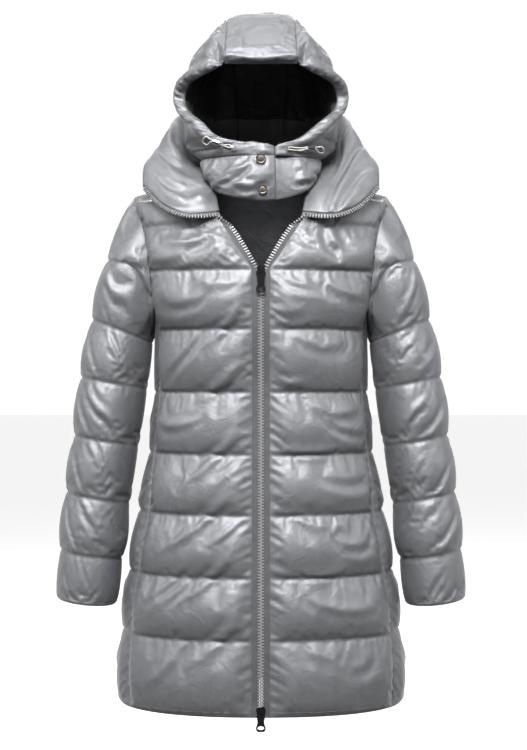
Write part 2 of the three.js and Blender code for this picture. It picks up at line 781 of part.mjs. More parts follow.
function hoodSideSurface(lap) {
  const start = lap / chinStep;
  const met = (k) => stripPoint(1, k).add(new THREE.Vector3(2.6 * seamGap, 0, 0));
  const curve = (rib, u) => {
    const ahead = mirrored(point(rib.near), -1);
    const ends = [point(rib.edge), point(rib.near), point(rib.side), point(rib.far), met(rib.k)];
    const first = rib.edge[0] === 0 ? lap / rib.near[0] : 0;
    const t = mix(first, stripSide, (u - start) / (stripSide - start));
    return through([ahead, ...ends], 1 + t);
  };
  return (u, v) => {
    const last = hoodRibs.length - 1;
    const i = clamp(Math.floor(v), 0, last - 1);
    const place = (at) => {
      const around = [-1, 0, 1, 2].map((k) => curve(hoodRibs[clamp(i + k, 0, last)], at));
      return i === last - 1 ? around[1].lerp(around[2], v - i) : through(around, 1 + v - i);
    };
    const off = met(metAt(v)).sub(place(stripSide));
    return place(u).addScaledVector(off, smooth(2.6, stripSide, u));
  };
}

// Stops round a side, the same on the hood and on the guard below it
const chinStops = [0.42, 0.62, 0.85, 1.1, 1.35, 1.6, 1.8, 2];
const backStops = [2.35, 2.75, 3.15, 3.5, 3.75, stripSide];

function lapStops(lap) {
  const start = lap / chinStep;
  return [start, start + 0.05, ...(start < 0 ? [-0.03, 0.2] : [])];
}

function hoodSide(name, side, lap) {
  const surface = hoodSideSurface(lap);
  const placed = (u, v) => mirrored(surface(u, v), side);
  const start = lap / chinStep;
  const last = hoodRibs.length - 1;
  const long = (v) => {
    let total = 0;
    for (let u = 0; u < stripSide; u += 1) {
      total += surface(mix(start, stripSide, (u + 1) / 4), v).distanceTo(surface(mix(start, stripSide, u / 4), v));
    }
    return total;
  };
  const rise = (u, v) => {
    const wide = long(v);
    const away = ((u - start) / (stripSide - start)) * wide;
    const channel = Math.min(hoodChannel, wide * 0.3);
    const ends = fade(v * 35) * fade((last - v) * 35);
    if (away < channel) {
      return 3.5 * fullness(away / channel) * ends;
    }
    return hoodPuff * fade(away - channel) * fade(wide - away) * ends;
  };
  const rows = baffleStops(stripQuilt, within).filter((k) => k > hoodRibs[0].k).map(rowMeeting);
  const innerRows = baffleStops(stripQuilt, plainWithin).filter((k) => k > hoodRibs[0].k).map(rowMeeting);
  const across = [...lapStops(lap), ...chinStops, ...backStops];
  const geometry = wall({
    surface: placed,
    rise,
    drop: () => wallThick,
    lean: (u, v) => (u === stripSide || v === last || v === 0 ? hoodLean(placed(u, v)) : null),
    across,
    down: [0, ...rows],
    innerAcross: across,
    innerDown: [0, ...innerRows],
    flip: -side,
  });
  return addMesh(name, geometry, 'shell');
}

// Chin guard: the wearer's right half laps over the left one
function guardSurface(lap, sink) {
  const last = hoodRibs[hoodRibs.length - 1];
  const seam = [mirrored(point(last.near), -1), ...[last.edge, last.near, last.side, last.far].map(point)];
  const foot = [mirrored(point(guardFoot[1]), -1), ...guardFoot.map(point)];
  const start = lap / chinStep;
  return (u, v) => {
    const top = through(seam, 1 + u);
    const low = through(foot, 1 + mix(lap / guardFoot[1][0], 4, (u - start) / (2 - start)));
    const p = top.add(new THREE.Vector3(0, 0, -1.3 * seamGap)).lerp(low, v);
    const out = new THREE.Vector3(p.x, p.y, 0).normalize();
    const round = 16 * v * (1 - v);
    const under = sink * smooth(0.75, 0.3, u);
    return p.addScaledVector(out, round - under);
  };
}

function guard(name, side, lap, sink) {
  const surface = guardSurface(lap, sink);
  const placed = (u, v) => mirrored(surface(u, v), side);
  const start = lap / chinStep;
  const rise = (u, v) => {
    const p = placed(u, v);
    let pressed = sink > 0 ? smooth(0.4, 0.8, u) : 1;
    for (const snap of snapPlaces) {
      pressed *= smooth(0.3, 1, Math.hypot(p.x - snap.x, p.z - snap.z) / snapDip);
    }
    return hoodPuff * fullness(v) * pressed * fade((u - start) * 78) * fade((2 - u) * 60);
  };
  const across = [...lapStops(lap), ...chinStops];
  const geometry = wall({
    surface: placed,
    rise,
    drop: () => wallThick,
    lean: (u, v) => (v === 0 ? hoodLean(placed(u, v)) : null),
    across,
    down: [0, 0.12, 0.3, 0.5, 0.7, 0.88, 1],
    innerAcross: across,
    innerDown: even(3),
    flip: -side,
  });
  return addMesh(name, geometry, 'shell');
}

// Zip. A half of it runs up the front, along the opened edge and out along the collar. Each station
// holds the inner edge of the chain and the edge of the tape at the cloth.
function onFront(x, z) {
  const place = torsoPoint(turnOf(x, z), z);
  return new THREE.Vector3(x, torsoDepth(place, z) + seamGap / 2, z);
}

function zipStations() {
  const parted = openTeeth.map((row) => row.z).filter((z) => z < quiltZ[1] + 8);
  const level = bodyInnerStops.filter((v) => v > 2 && v < bodyLines.length - 1).map((v) => rowZ(v, 0));
  const clear = level.filter((z) => z < -163 && z > -768);
  const heights = [...parted, ...clear].sort((a, b) => a - b);
  const stations = heights.map((z) => {
    const edge = column(frontEdgeRows, 'z', 'x', z) - seamGap;
    return { chain: onFront(column(openTeeth, 'z', 'x', z), z), cloth: onFront(edge, z) };
  });
  for (const v of bodyStops.filter((stop) => stop >= 1 && stop < 2).reverse()) {
    const cloth = frontSurface(1)(0, v);
    stations.push({ chain: onFront(column(openTeeth, 'z', 'x', cloth.z), cloth.z), cloth });
    cloth.x -= seamGap;
  }
  for (const v of collarStops) {
    const cloth = collarSurface(1, v);
    const away = cloth.clone().sub(collarSurface(0.98, v)).normalize();
    cloth.addScaledVector(away, seamGap);
    stations.push({ chain: cloth.clone().addScaledVector(away, collarTapeWide), cloth });
  }
  return stations;
}

function zipTape(name, side) {
  const stations = zipStations();
  const surface = (u, v) => {
    const i = clamp(Math.floor(v), 0, stations.length - 2);
    const [a, b] = [stations[i], stations[i + 1]];
    return mirrored(a.chain.clone().lerp(b.chain, v - i).lerp(a.cloth.clone().lerp(b.cloth, v - i), u), side);
  };
  const ridge = 0.27; // share of the tape's width that the chain takes
  const face = (u) => tapeThick / 2 + (u <= ridge ? chainProud : 0);
  const across = [0, ridge, ridge + 0.03, 1];
  const down = stations.map((_, i) => i);
  const geometry = wall({
    surface,
    rise: face,
    drop: face,
    across,
    down,
    innerAcross: across,
    innerDown: down,
    flip: side,
  });
  addMesh(name, geometry, 'tape');
}

// Solids for cutting and joining
function solid(geometry) {
  const bare = geometry.clone();
  bare.deleteAttribute('normal');
  bare.deleteAttribute('uv');
  const merged = mergeVertices(bare, 1e-4);
  const vertProperties = new Float32Array(merged.attributes.position.array);
  const triVerts = new Uint32Array(merged.index.array);
  return new wasm.Manifold(new wasm.Mesh({ numProp: 3, vertProperties, triVerts }));
}

function shapeOf(manifold) {
  const mesh = manifold.getMesh();
  const geometry = new THREE.BufferGeometry();
  geometry.setAttribute('position', new THREE.BufferAttribute(mesh.vertProperties, 3));
  geometry.setIndex(new THREE.BufferAttribute(mesh.triVerts, 1));
  return geometry;
}

// A flat outline in x and z, drawn from the front and made thick towards the wearer
function plate(outline, frontY, backY) {
  const geometry = new THREE.ExtrudeGeometry(outline, {
    depth: backY - frontY,
    bevelEnabled: false,
    curveSegments: 6,
  });
  return geometry.rotateX(Math.PI / 2).translate(0, backY, 0);
}

function block(x, y, z) {
  const size = [x[1] - x[0], y[1] - y[0], z[1] - z[0]];
  return new THREE.BoxGeometry(...size).translate((x[0] + x[1]) / 2, (y[0] + y[1]) / 2, (z[0] + z[1]) / 2);
}

// The slider's middle, the line its pull turns on, and the front of its front plate
function sliderFrame(place) {
  const y = onFront(0, place.z).y;
  const face = y - slider.chainGap / 2 - slider.plate;
  return { y, face, axisZ: place.z + place.axisUp, axisY: face - bail.axisOut };
}

// Slider and pull lean with the cloth that they lie on
function leaned(geometry, place) {
  const { y } = sliderFrame(place);
  const reach = slider.tall / 2;
  const slope = (onFront(0, place.z + reach).y - onFront(0, place.z - reach).y) / (2 * reach);
  return geometry.translate(0, -y, -place.z).rotateX(-Math.atan(slope)).translate(0, y, place.z);
}

function sliderBody(place) {
  const { y, face, axisZ } = sliderFrame(place);
  const half = slider.wide / 2;
  const end = slider.tall / 2;
  const closed = -end * place.way; // the end where the two chains are joined
  const outline = new THREE.Shape();
  outline.moveTo(-half, -closed);
  outline.lineTo(half, -closed);
  outline.lineTo(half, 0);
  outline.lineTo(slider.bulge / 2, closed * 0.55);
  outline.lineTo(half * 0.9, closed);
  outline.lineTo(-half * 0.9, closed);
  outline.lineTo(-slider.bulge / 2, closed * 0.55);
  outline.lineTo(-half, 0);
  outline.closePath();
  const back = y + slider.chainGap / 2 + slider.plate;
  const flat = outline.getPoints();
  const way = THREE.ShapeUtils.isClockWise(flat) ? new THREE.Shape(flat.reverse()) : outline;
  const body = solid(plate(way, face, back).translate(0, 0, place.z));
  const wide = slider.bulge;
  const openEnd = place.z - closed;
  const zSpan = [place.z - end - 1, place.z + end + 1];
  const gap = slider.chainGap / 2;
  const chains = solid(block([-slider.chainWide / 2, slider.chainWide / 2], [y - gap, y + gap], zSpan));
  const mouth = [Math.min(openEnd, place.z) - 0.5, Math.max(openEnd, place.z) + 0.5];
  const fork = solid(block([-wide, wide], [y - gap, y + gap], mouth));
  const tapes = solid(block([-wide, wide], [y - slider.tapeGap / 2, y + slider.tapeGap / 2], zSpan));
  const postEnds = [openEnd, openEnd - 3.4 * place.way].sort((a, b) => a - b);
  const post = solid(block([-1.3, 1.3], [y - gap - 1, y + gap + 1], postEnds));
  const hollow = chains.add(fork).add(tapes).subtract(post);
  const rail = bail.reach - bail.thick;
  const loop = solid(
    block([-bail.wide / 2, bail.wide / 2], [face - bail.reach, face + 0.5], [axisZ - bail.below, axisZ + bail.above]),
  );
  const eye = solid(
    block([-bail.wide, bail.wide], [face - rail, face], [axisZ - bail.below + bail.thick, axisZ + bail.above - bail.thick]),
  );
  const shape = shapeOf(body.subtract(hollow).add(loop.subtract(eye)));
  addMesh(`slider_${place.end}`, leaned(shape, place), 'slider');
}

function pullTab(place) {
  const { axisY, axisZ } = sliderFrame(place);
  const top = axisZ + pull.bar;
  const low = axisZ - place.pullLong;
  const [neck, ring] = [pull.neck / 2, pull.ring / 2];
  const waist = low + 15;
  const outline = new THREE.Shape();
  outline.moveTo(-neck, top);
  outline.lineTo(-neck, waist + 2);
  outline.quadraticCurveTo(-neck * 0.7, waist - 2, -ring, low + 6.5);
  outline.quadraticCurveTo(-ring, low, -ring * 0.35, low);
  outline.lineTo(ring * 0.35, low);
  outline.quadraticCurveTo(ring, low, ring, low + 6.5);
  outline.quadraticCurveTo(neck * 0.7, waist - 2, neck, waist + 2);
  outline.lineTo(neck, top);
  outline.closePath();
  const slot = new THREE.Path();
  slot.moveTo(-pull.slotHalf, axisZ - pull.bar);
  slot.lineTo(-pull.slotHalf, axisZ - pull.slotDeep);
  slot.lineTo(pull.slotHalf, axisZ - pull.slotDeep);
  slot.lineTo(pull.slotHalf, axisZ - pull.bar);
  slot.closePath();
  const grip = new THREE.Path();
  grip.absellipse(0, low + 5.4, pull.holeWide / 2, pull.holeTall / 2, 0, 2 * Math.PI, false);
  outline.holes.push(slot, grip);
  const half = pull.thick / 2;
  addMesh(`pull_${place.end}`, leaned(plate(outline, axisY - half, axisY + half), place), 'slider');
}

// Height in y of the outer face of some pieces, straight behind a place seen from the front
function faceAt(pieces, x, z) {
  const ray = new THREE.Raycaster(new THREE.Vector3(x, -400, z), new THREE.Vector3(0, 1, 0));
  const hits = ray.intersectObjects(pieces, false);
  return hits.length > 0 ? hits[0].point.y : Infinity;
}

function snap(place, cloth) {
  const { radius } = place;
  let seat = Infinity;
  for (const turn of even(12)) {
    const [dx, dz] = [Math.cos(turn * 2 * Math.PI), Math.sin(turn * 2 * Math.PI)];
    for (const reach of [0, radius * 0.5, radius]) {
      seat = Math.min(seat, faceAt(cloth, place.x + dx * reach, place.z + dz * reach));
    }
  }
  const profile = [
    [0, 0],
    [radius, 0],
    [radius, 0.9],
    [radius - 0.9, 1.9],
    [radius * 0.5, 2.4],
    [0, 2.5],
  ].map(([x, y]) => new THREE.Vector2(x, y));
  const cap = new THREE.LatheGeometry(profile, 16).rotateX(Math.PI);
  addMesh(place.name, cap.translate(place.x, seat - seamGap, place.z), 'snap');
}

// A place above the cloth's outer face, found by its x and z and lifted along the face's normal
function liftedFrom(pieces, x, z, height) {
  const step = 1.5;
  const y = faceAt(pieces, x, z);
  const [west, east] = [faceAt(pieces, x - step, z), faceAt(pieces, x + step, z)];
  const [low, high] = [faceAt(pieces, x, z - step), faceAt(pieces, x, z + step)];
  const normal = new THREE.Vector3((east - west) / (2 * step), -1, (high - low) / (2 * step)).normalize();
  return new THREE.Vector3(x, y, z).addScaledVector(normal, height);
}

// How far the cloth stands above a plane within a small area in front of it
function bulgeOver(pieces, seat, out, halfX, halfZ) {
  let most = 0;
  for (const right of even(6)) {
    for (const up of even(6)) {
      const x = seat.x + (2 * right - 1) * halfX;
      const z = seat.z + (2 * up - 1) * halfZ;
      const y = faceAt(pieces, x, z);
      if (Number.isFinite(y)) {
        most = Math.max(most, new THREE.Vector3(x, y, z).sub(seat).dot(out));
      }
    }
  }
  return most;
}

// A cord leaves its buttonhole, runs through the toggle, turns back in a loop and goes in again
function cordRoute(place, pieces) {
  const [from, to] = [place.exit, place.toggle].map(([x, z]) => new THREE.Vector3(x, 0, z));
  const along = to.clone().sub(from);
  const span = along.length();
  along.normalize();
  const sideways = new THREE.Vector3(-along.z, 0, along.x);
  const over = (distance, off, height) => {
    const flat = from.clone().addScaledVector(along, distance).addScaledVector(sideways, off);
    return liftedFrom(pieces, flat.x, flat.z, height);
  };
  const clear = cordWide / 2 + seamGap;
  const ends = [span - toggle.long / 2, span + toggle.long / 2];
  const inside = toggle.deep / 2 + seamGap + cordHeights.toggleLift;
  const [footStart, footEnd] = ends.map((distance) => over(distance, 0, 0));
  const axis = footEnd.clone().sub(footStart).normalize();
  const out = new THREE.Vector3().crossVectors(axis, sideways).normalize();
  const foot = footStart.clone().lerp(footEnd, 0.5);
  const raise = inside + bulgeOver(pieces, foot, out, toggle.long / 2, toggle.wide / 2);
  const [start, end] = [footStart, footEnd].map((p) => p.clone().addScaledVector(out, raise));
  const inToggle = (distance, off) => {
    const share = (distance - ends[0]) / toggle.long;
    return start.clone().lerp(end, share).addScaledVector(sideways, off);
  };
  const { apart, radius, beyond } = cordLoop;
  const loop = ends[1] + beyond;
  const strand = (side) => [
    over(-0.6, side * apart, clear + 0.3),
    over(2.6, side * (apart + 0.2), clear + cordHeights.overRim),
    over(8, side * (apart + 0.5), clear + cordHeights.free),
    over(mix(8, ends[0], 0.5), side * (apart + 0.5), clear + cordHeights.free + 0.4),
    inToggle(ends[0] - 2.5, side * apart),
    inToggle(ends[0], side * apart),
    inToggle(span, side * apart),
    inToggle(ends[1], side * apart),
    inToggle(ends[1] + 2.5, side * (apart + 0.4)),
    over(loop - 3.5, side * (radius - 0.7), clear + cordHeights.free + 0.8),
    over(loop, side * radius, clear + cordHeights.free),
    over(loop + 0.8 * radius, side * 0.6 * radius, clear + cordHeights.free),
  ];
  const tip = over(loop + radius, 0, clear + cordHeights.free);
  return { route: [...strand(1), tip, ...strand(-1).reverse()], start, end, sideways };
}

function hoodCord(place, pieces) {
  const { route } = cordRoute(place, pieces);
  const curve = new THREE.CatmullRomCurve3(route, false, 'centripetal');
  const section = new THREE.Shape();
  section.absarc(0, 0, cordWide / 2, 0, 2 * Math.PI, false);
  const steps = Math.ceil(curve.getLength() / (2 * cordWide));
  const tube = new THREE.ExtrudeGeometry(section, {
    extrudePath: curve,
    steps,
    curveSegments: 4,
    bevelEnabled: false,
  });
  addMesh(`cord_${place.name}`, tube, 'cord');
}

function cordToggle(place, pieces) {
  const { start, end, sideways } = cordRoute(place, pieces);
  const barrel = new THREE.Shape();
  barrel.absellipse(0, 0, toggle.wide / 2, toggle.deep / 2, 0, 2 * Math.PI, false);
  const bore = new THREE.Path();
  bore.absellipse(0, 0, toggle.slotWide / 2, toggle.slotDeep / 2, 0, 2 * Math.PI, true);
  barrel.holes.push(bore);
  const depth = start.distanceTo(end);
  const body = new THREE.ExtrudeGeometry(barrel, { depth, bevelEnabled: false, curveSegments: 6 });
  const axis = end.clone().sub(start).normalize();
  const out = new THREE.Vector3().crossVectors(axis, sideways).normalize();
  body.applyMatrix4(new THREE.Matrix4().makeBasis(sideways, out, axis).setPosition(start));
  addMesh(`toggle_${place.name}`, body, 'toggle');
}

function cordButtonhole(place, pieces) {
  const outline = new THREE.Shape();
  outline.absellipse(0, 0, buttonhole.long / 2, buttonhole.wide / 2, 0, 2 * Math.PI, false);
  const slot = new THREE.Path();
  slot.absellipse(0, 0, buttonhole.slotLong / 2, buttonhole.slotWide / 2, 0, 2 * Math.PI, true);
  outline.holes.push(slot);
  const [x, z] = place.exit;
  const seat = liftedFrom(pieces, x, z, seamGap);
  const out = seat.clone().sub(liftedFrom(pieces, x, z, 0)).normalize();
  seat.addScaledVector(out, bulgeOver(pieces, seat, out, buttonhole.long / 2, buttonhole.wide / 2));
  const rim = new THREE.ExtrudeGeometry(outline, {
    depth: buttonhole.thick,
    bevelEnabled: false,
    curveSegments: 6,
  });
  const across = new THREE.Vector3(0, 0, 1).cross(out).normalize();
  const up = out.clone().cross(across);
  rim.applyMatrix4(new THREE.Matrix4().makeBasis(across, up, out).setPosition(seat));
  addMesh(`buttonhole_${place.name}`, rim, 'tape');
}

frontPanel('front_left', 1);
frontPanel('front_right', -1);
backPanel();
sidePanel('side_left', 1);
sidePanel('side_right', -1);
sleeve('sleeve_left', 1);
sleeve('sleeve_right', -1);
collar();
hoodCenter();
const hoodLeft = hoodSide('hood_left', 1, hoodLap.under);
const hoodRight = hoodSide('hood_right', -1, hoodLap.over);
const guardLeft = guard('guard_left', 1, guardLap.under, guardLap.sink);
const guardRight = guard('guard_right', -1, guardLap.over, 0);
zipTape('zip_left', 1);
zipTape('zip_right', -1);
for (const place of sliderPlaces) {
  sliderBody(place);
  pullTab(place);
}
for (const place of snapPlaces) {
  snap(place, [guardRight, hoodRight]);
}
const chinPieces = { left: [hoodLeft, guardLeft], right: [hoodRight, guardRight] };
for (const place of cordPlaces) {
  hoodCord(place, chinPieces[place.name]);
  cordToggle(place, chinPieces[place.name]);
  cordButtonhole(place, chinPieces[place.name]);
}

export default jacket;
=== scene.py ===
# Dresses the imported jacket: quilted satin panels, lining, zip teeth, stitching, cords and snaps.
# Lengths in the tables are millimetres, in the frame of the solids: +Z up, the front faces -Y.
import math
import random

import bmesh
import bpy
import numpy as np
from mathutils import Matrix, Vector
from mathutils.bvhtree import BVHTree


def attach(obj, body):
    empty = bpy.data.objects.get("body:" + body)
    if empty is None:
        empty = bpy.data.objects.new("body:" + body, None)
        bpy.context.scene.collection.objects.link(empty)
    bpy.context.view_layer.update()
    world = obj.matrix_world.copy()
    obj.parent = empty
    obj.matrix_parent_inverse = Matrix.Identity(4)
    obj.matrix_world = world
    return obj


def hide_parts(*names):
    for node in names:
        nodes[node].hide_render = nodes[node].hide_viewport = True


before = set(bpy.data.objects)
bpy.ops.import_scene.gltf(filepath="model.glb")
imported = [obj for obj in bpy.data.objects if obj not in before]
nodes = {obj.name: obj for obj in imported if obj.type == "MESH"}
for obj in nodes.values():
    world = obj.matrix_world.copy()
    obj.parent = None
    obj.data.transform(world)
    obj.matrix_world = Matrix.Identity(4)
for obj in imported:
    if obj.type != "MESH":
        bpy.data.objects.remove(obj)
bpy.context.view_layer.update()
bpy.ops.object.select_all(action="DESELECT")
random.seed(11)
mm = 0.001
print("frame loaded")

# Camera, floor and light
view = {"at": (0.00375, -2.1, -0.3), "lens": 67.2, "floor": -0.93}


def stageShare(tree, vector, near, far, low, high):
    # a value that grows towards the back, the way the camera looks
    split = tree.nodes.new("ShaderNodeSeparateXYZ")
    tree.links.new(vector, split.inputs["Vector"])
    spread = tree.nodes.new("ShaderNodeMapRange")
    spread.interpolation_type = "SMOOTHSTEP"
    for name, value in (("From Min", near), ("From Max", far), ("To Min", low), ("To Max", high)):
        spread.inputs[name].default_value = value
    tree.links.new(split.outputs["Y"], spread.inputs["Value"])
    return spread


def makeStage():
    bpy.ops.object.camera_add(location=view["at"], rotation=(math.radians(90), 0, 0))
    camera = bpy.context.object
    camera.data.lens = view["lens"]
    camera.data.sensor_width = 36
    camera.data.clip_end = 60
    bpy.context.scene.camera = camera
    bpy.ops.mesh.primitive_plane_add(size=40, location=(0, 0, view["floor"]))
    floor = bpy.context.object
    floor.name = "floor"
    pale = bpy.data.materials.new("pale_floor")
    pale.use_nodes = True
    tree = pale.node_tree
    shader = tree.nodes["Principled BSDF"]
    shader.inputs["Roughness"].default_value = 0.9
    shader.inputs["Emission Color"].default_value = (1, 1, 1, 1)
    # dim in front, so that little light comes up under the quilting
    place = tree.nodes.new("ShaderNodeTexCoord")
    for socket, low, high in (("Base Color", 0.1, 0.6), ("Emission Strength", 0, lights["floorGlow"])):
        part = stageShare(tree, place.outputs["Object"], 0.02, 0.24, low, high)
        tree.links.new(part.outputs["Result"], shader.inputs[socket])
    floor.data.materials.append(pale)
    world = bpy.data.worlds.new("studio")
    bpy.context.scene.world = world
    world.use_nodes = True
    tree = world.node_tree
    place = tree.nodes.new("ShaderNodeTexCoord")
    background = tree.nodes["Background"]
    background.inputs["Color"].default_value = (1, 1, 1, 1)
    sky = stageShare(tree, place.outputs["Generated"], 0.1, 0.7, lights["ahead"], lights["backdrop"])
    tree.links.new(sky.outputs["Result"], background.inputs["Strength"])
    bpy.context.scene.view_settings.view_transform = "Standard"
    for name, (at, faces, size, watts, spread) in lights["panels"].items():
        bpy.ops.object.light_add(type="AREA", location=at)
        lamp = bpy.context.object
        lamp.name = name
        lamp.data.shape = "RECTANGLE"
        lamp.data.size, lamp.data.size_y = size
        lamp.data.energy = watts
        lamp.data.spread = math.radians(spread)
        aim = Vector(faces) - Vector(at)
        lamp.rotation_euler = aim.to_track_quat("-Z", "Y").to_euler()


lights = {
    "ahead": 0.2,
    "backdrop": 1.02,
    "floorGlow": 0.62,
    "panels": {
        # name: place, what it faces, size, watts, spread in degrees
        "key": ((-0.25, -2.3, 2.0), (0, 0, -0.25), (2.3, 1.3), 29, 48),
        "leftStrip": ((-2.2, -0.9, 0.8), (0, 0, -0.3), (0.4, 1.6), 3, 60),
        "rightStrip": ((2.2, -0.9, 0.8), (0, 0, -0.3), (0.4, 1.6), 3, 60),
        "top": ((0, 0.1, 2.0), (0, 0, 0), (1.4, 0.8), 2, 60),
        "behind": ((0, 2.4, 1.2), (0, 0, -0.3), (1.6, 1.2), 12, 60),
    },
}

makeStage()
print("stage and camera made")


# Numbers and curves
def clamp(value, low, high):
    return max(low, min(high, value))


def mix(a, b, share):
    return a + (b - a) * share


def smooth(low, high, value):
    t = clamp((value - low) / (high - low), 0, 1)
    return t * t * (3 - 2 * t)


def column(rows, name, at):
    # value of one column of a table, smooth between its rows; the first column is the place
    last = len(rows) - 1
    way = 1 if rows[last][0] > rows[0][0] else -1
    i = 0
    while i < last - 1 and (at - rows[i + 1][0]) * way > 0:
        i += 1

    def slope(k):
        low, high = rows[max(k - 1, 0)], rows[min(k + 1, last)]
        return (high[name] - low[name]) / (high[0] - low[0])

    a, b = rows[i], rows[i + 1]
    span = b[0] - a[0]
    t = clamp((at - a[0]) / span, 0, 1)
    level = mix(a[name], b[name], t * t * (3 - 2 * t))
    return level + span * (slope(i) * t * (1 - t) ** 2 - slope(i + 1) * t * t * (1 - t))


def through(points, t):
    # a point on a smooth curve through points that are one step apart
    last = len(points) - 1
    i = int(clamp(math.floor(t), 0, last - 1))
    s = clamp(t, 0, last) - i
    p0, p1, p2, p3 = (points[int(clamp(k, 0, last))] for k in (i - 1, i, i + 1, i + 2))
    bend = 2 * p0 - 5 * p1 + 4 * p2 - p3
    turn = 3 * p1 - p0 - 3 * p2 + p3
    return p1 + 0.5 * s * (p2 - p0 + s * (bend + s * turn))


def mirrored(p, side):
    return Vector((p.x * side, p.y, p.z))


# The cut of the body: quilting levels, sections, seams and the opened front edge
body = {
    "quilt": [-85, -150, -235, -325, -414, -500, -588, -676, -782],
    "round": 2.3,
    "sections": [  # z, half width, depth in front, depth behind
        (10, 188, 73, 88),
        (-38, 188, 80, 92),
        (-85, 186, 96, 105),
        (-150, 181, 112, 110),
        (-235, 157, 116, 104),
        (-325, 157, 110, 96),
        (-414, 165, 114, 104),
        (-500, 180, 120, 114),
        (-588, 194, 126, 122),
        (-676, 204, 130, 126),
        (-782, 210, 132, 128),
    ],
    "seams": [  # z, front panel's edge, back panel's edge
        (-35, 188, 188),
        (-60, 181, 183),
        (-89, 171, 175),
        (-127, 165, 168),
        (-150, 163, 165),
        (-170, 160, 161),
        (-190, 157, 157),
        (-235, 149.5, 144),
        (-325, 148, 141),
        (-414, 156, 147),
        (-500, 163, 158),
        (-588, 178, 170),
        (-676, 190, 180),
        (-782, 191, 184),
    ],
    "frontEdge": [
        (6, 72),
        (-18, 69.5),
        (-45, 64),
        (-73, 58),
        (-87, 52),
        (-102, 42),
        (-128, 26),
        (-148, 12.4),
        (-160, 11.4),
        (-782, 11.4),
    ],
    "shoulder": {"innerX": 72, "innerZ": 5, "outerX": 188, "outerZ": -33, "roundOver": 90, "soften": 20},
    "neckBack": (-10, 15),
    "footZ": -200,
    "footDip": 36,
    "puff": 12.5,
    "sidePuff": 4.5,
}
sideLines = [body["footZ"], *body["quilt"][3:]]


def shoulderZ(x):
    s = body["shoulder"]
    away = math.hypot(x, s["soften"]) - math.hypot(s["innerX"], s["soften"])
    span = math.hypot(s["outerX"], s["soften"]) - math.hypot(s["innerX"], s["soften"])
    return mix(s["innerZ"], s["outerZ"], away / span)


def turnOf(x, z):
    return math.asin(clamp(x / column(body["sections"], 1, z), 0, 1) ** (body["round"] / 2))


def torsoX(turn, z):
    wide = column(body["sections"], 1, z) * abs(math.sin(turn)) ** (2 / body["round"])
    return wide * (1 if turn >= 0 else -1)


def torsoY(turn, x, z, behind):
    fall = clamp((shoulderZ(x) - z) / body["shoulder"]["roundOver"], 0, 1)
    depth = column(body["sections"], 3 if behind else 2, z)
    reach = depth * abs(math.cos(turn)) ** (2 / body["round"]) * math.sqrt(1 - (1 - fall) ** 2)
    return reach if behind else -reach


def rowZ(v, topZ):
    quilt = body["quilt"]
    if v < 1:
        return mix(topZ, quilt[0], 1 - math.cos(v * math.pi / 2))
    i = min(int(v), len(quilt) - 1)
    return mix(quilt[i - 1], quilt[i], v - i)


def frontPoint(u, v):
    s = body["shoulder"]
    inZ, outZ = rowZ(v, s["innerZ"]), rowZ(v, s["outerZ"])
    inTurn = turnOf(column(body["frontEdge"], 1, inZ), inZ)
    outTurn = turnOf(column(body["seams"], 1, outZ), outZ)
    turn = mix(inTurn, outTurn, u)
    x = torsoX(turn, mix(inZ, outZ, u))
    z = rowZ(v, shoulderZ(x))
    return Vector((x, torsoY(turn, x, z, False), z))


def backPoint(u, v):
    outZ = rowZ(v, body["shoulder"]["outerZ"])
    turn = u * turnOf(column(body["seams"], 2, outZ), outZ)
    x = torsoX(turn, outZ)
    low, rise = body["neckBack"]
    inner = body["shoulder"]["innerX"]
    topZ = low + rise * (x / inner) ** 2 if abs(x) < inner else shoulderZ(x)
    z = rowZ(v, topZ)
    return Vector((x, torsoY(turn, x, z, True), z))


def sidePoint(u, v):
    top = body["footZ"] - body["footDip"] * math.sin(math.pi * clamp(u, 0, 1)) ** 0.8
    i = int(clamp(math.floor(v), 0, len(sideLines) - 2))
    z = mix(top if i == 0 else sideLines[i], sideLines[i + 1], v - i)
    front = turnOf(column(body["seams"], 1, z), z)
    back = math.pi - turnOf(column(body["seams"], 2, z), z)
    turn = mix(front, back, u)
    x = torsoX(turn, z)
    return Vector((x, torsoY(turn, x, z, math.cos(turn) < 0), z))


def fullness(t):
    return math.sin(math.pi * clamp(t, 0, 1) ** 1.12) ** 0.72


def baffle(lines, at):
    for low, high in zip(lines, lines[1:]):
        if at <= high:
            return fullness((at - low) / (high - low))
    return 0


def fade(distance, over=26):
    return math.sin(math.pi / 2 * clamp(distance / over, 0, 1)) ** 0.8


# Sleeves
sleeve = {
    "rows": [  # outer x and z, inner x and z, depth, y of its middle
        (228, -129, 163, -150, 57, 0),
        (250.5, -217.5, 163.4, -252, 55, -2),
        (267, -303, 171.5, -321, 56, -5),
        (276.5, -389, 184, -405, 55, -9),
        (287, -472, 197, -489, 53.5, -14),
        (295.5, -556.5, 207.5, -570, 52.5, -20),
        (300, -628, 216.5, -638, 50, -25),
    ],
    "puff": 8.5,
}


def armholePoint(angle):
    quilt, low = body["quilt"][1], body["footZ"] - body["footDip"]
    turned = abs(angle)
    if turned < math.pi / 2:
        z = mix(quilt, body["shoulder"]["outerZ"], math.cos(turned))
    else:
        z = mix(quilt, low, math.sin(turned - math.pi / 2))
    behind = angle < 0
    front = turnOf(column(body["seams"], 1, z), z)
    back = math.pi - turnOf(column(body["seams"], 2, z), z)
    turn = back if behind else front
    if z < body["footZ"]:
        share = math.asin(clamp((body["footZ"] - z) / body["footDip"], 0, 1) ** 1.25) / math.pi
        turn = mix(back, front, share) if behind else mix(front, back, share)
    x = torsoX(turn, z)
    return Vector((x, torsoY(turn, x, z, math.cos(turn) < 0), z))


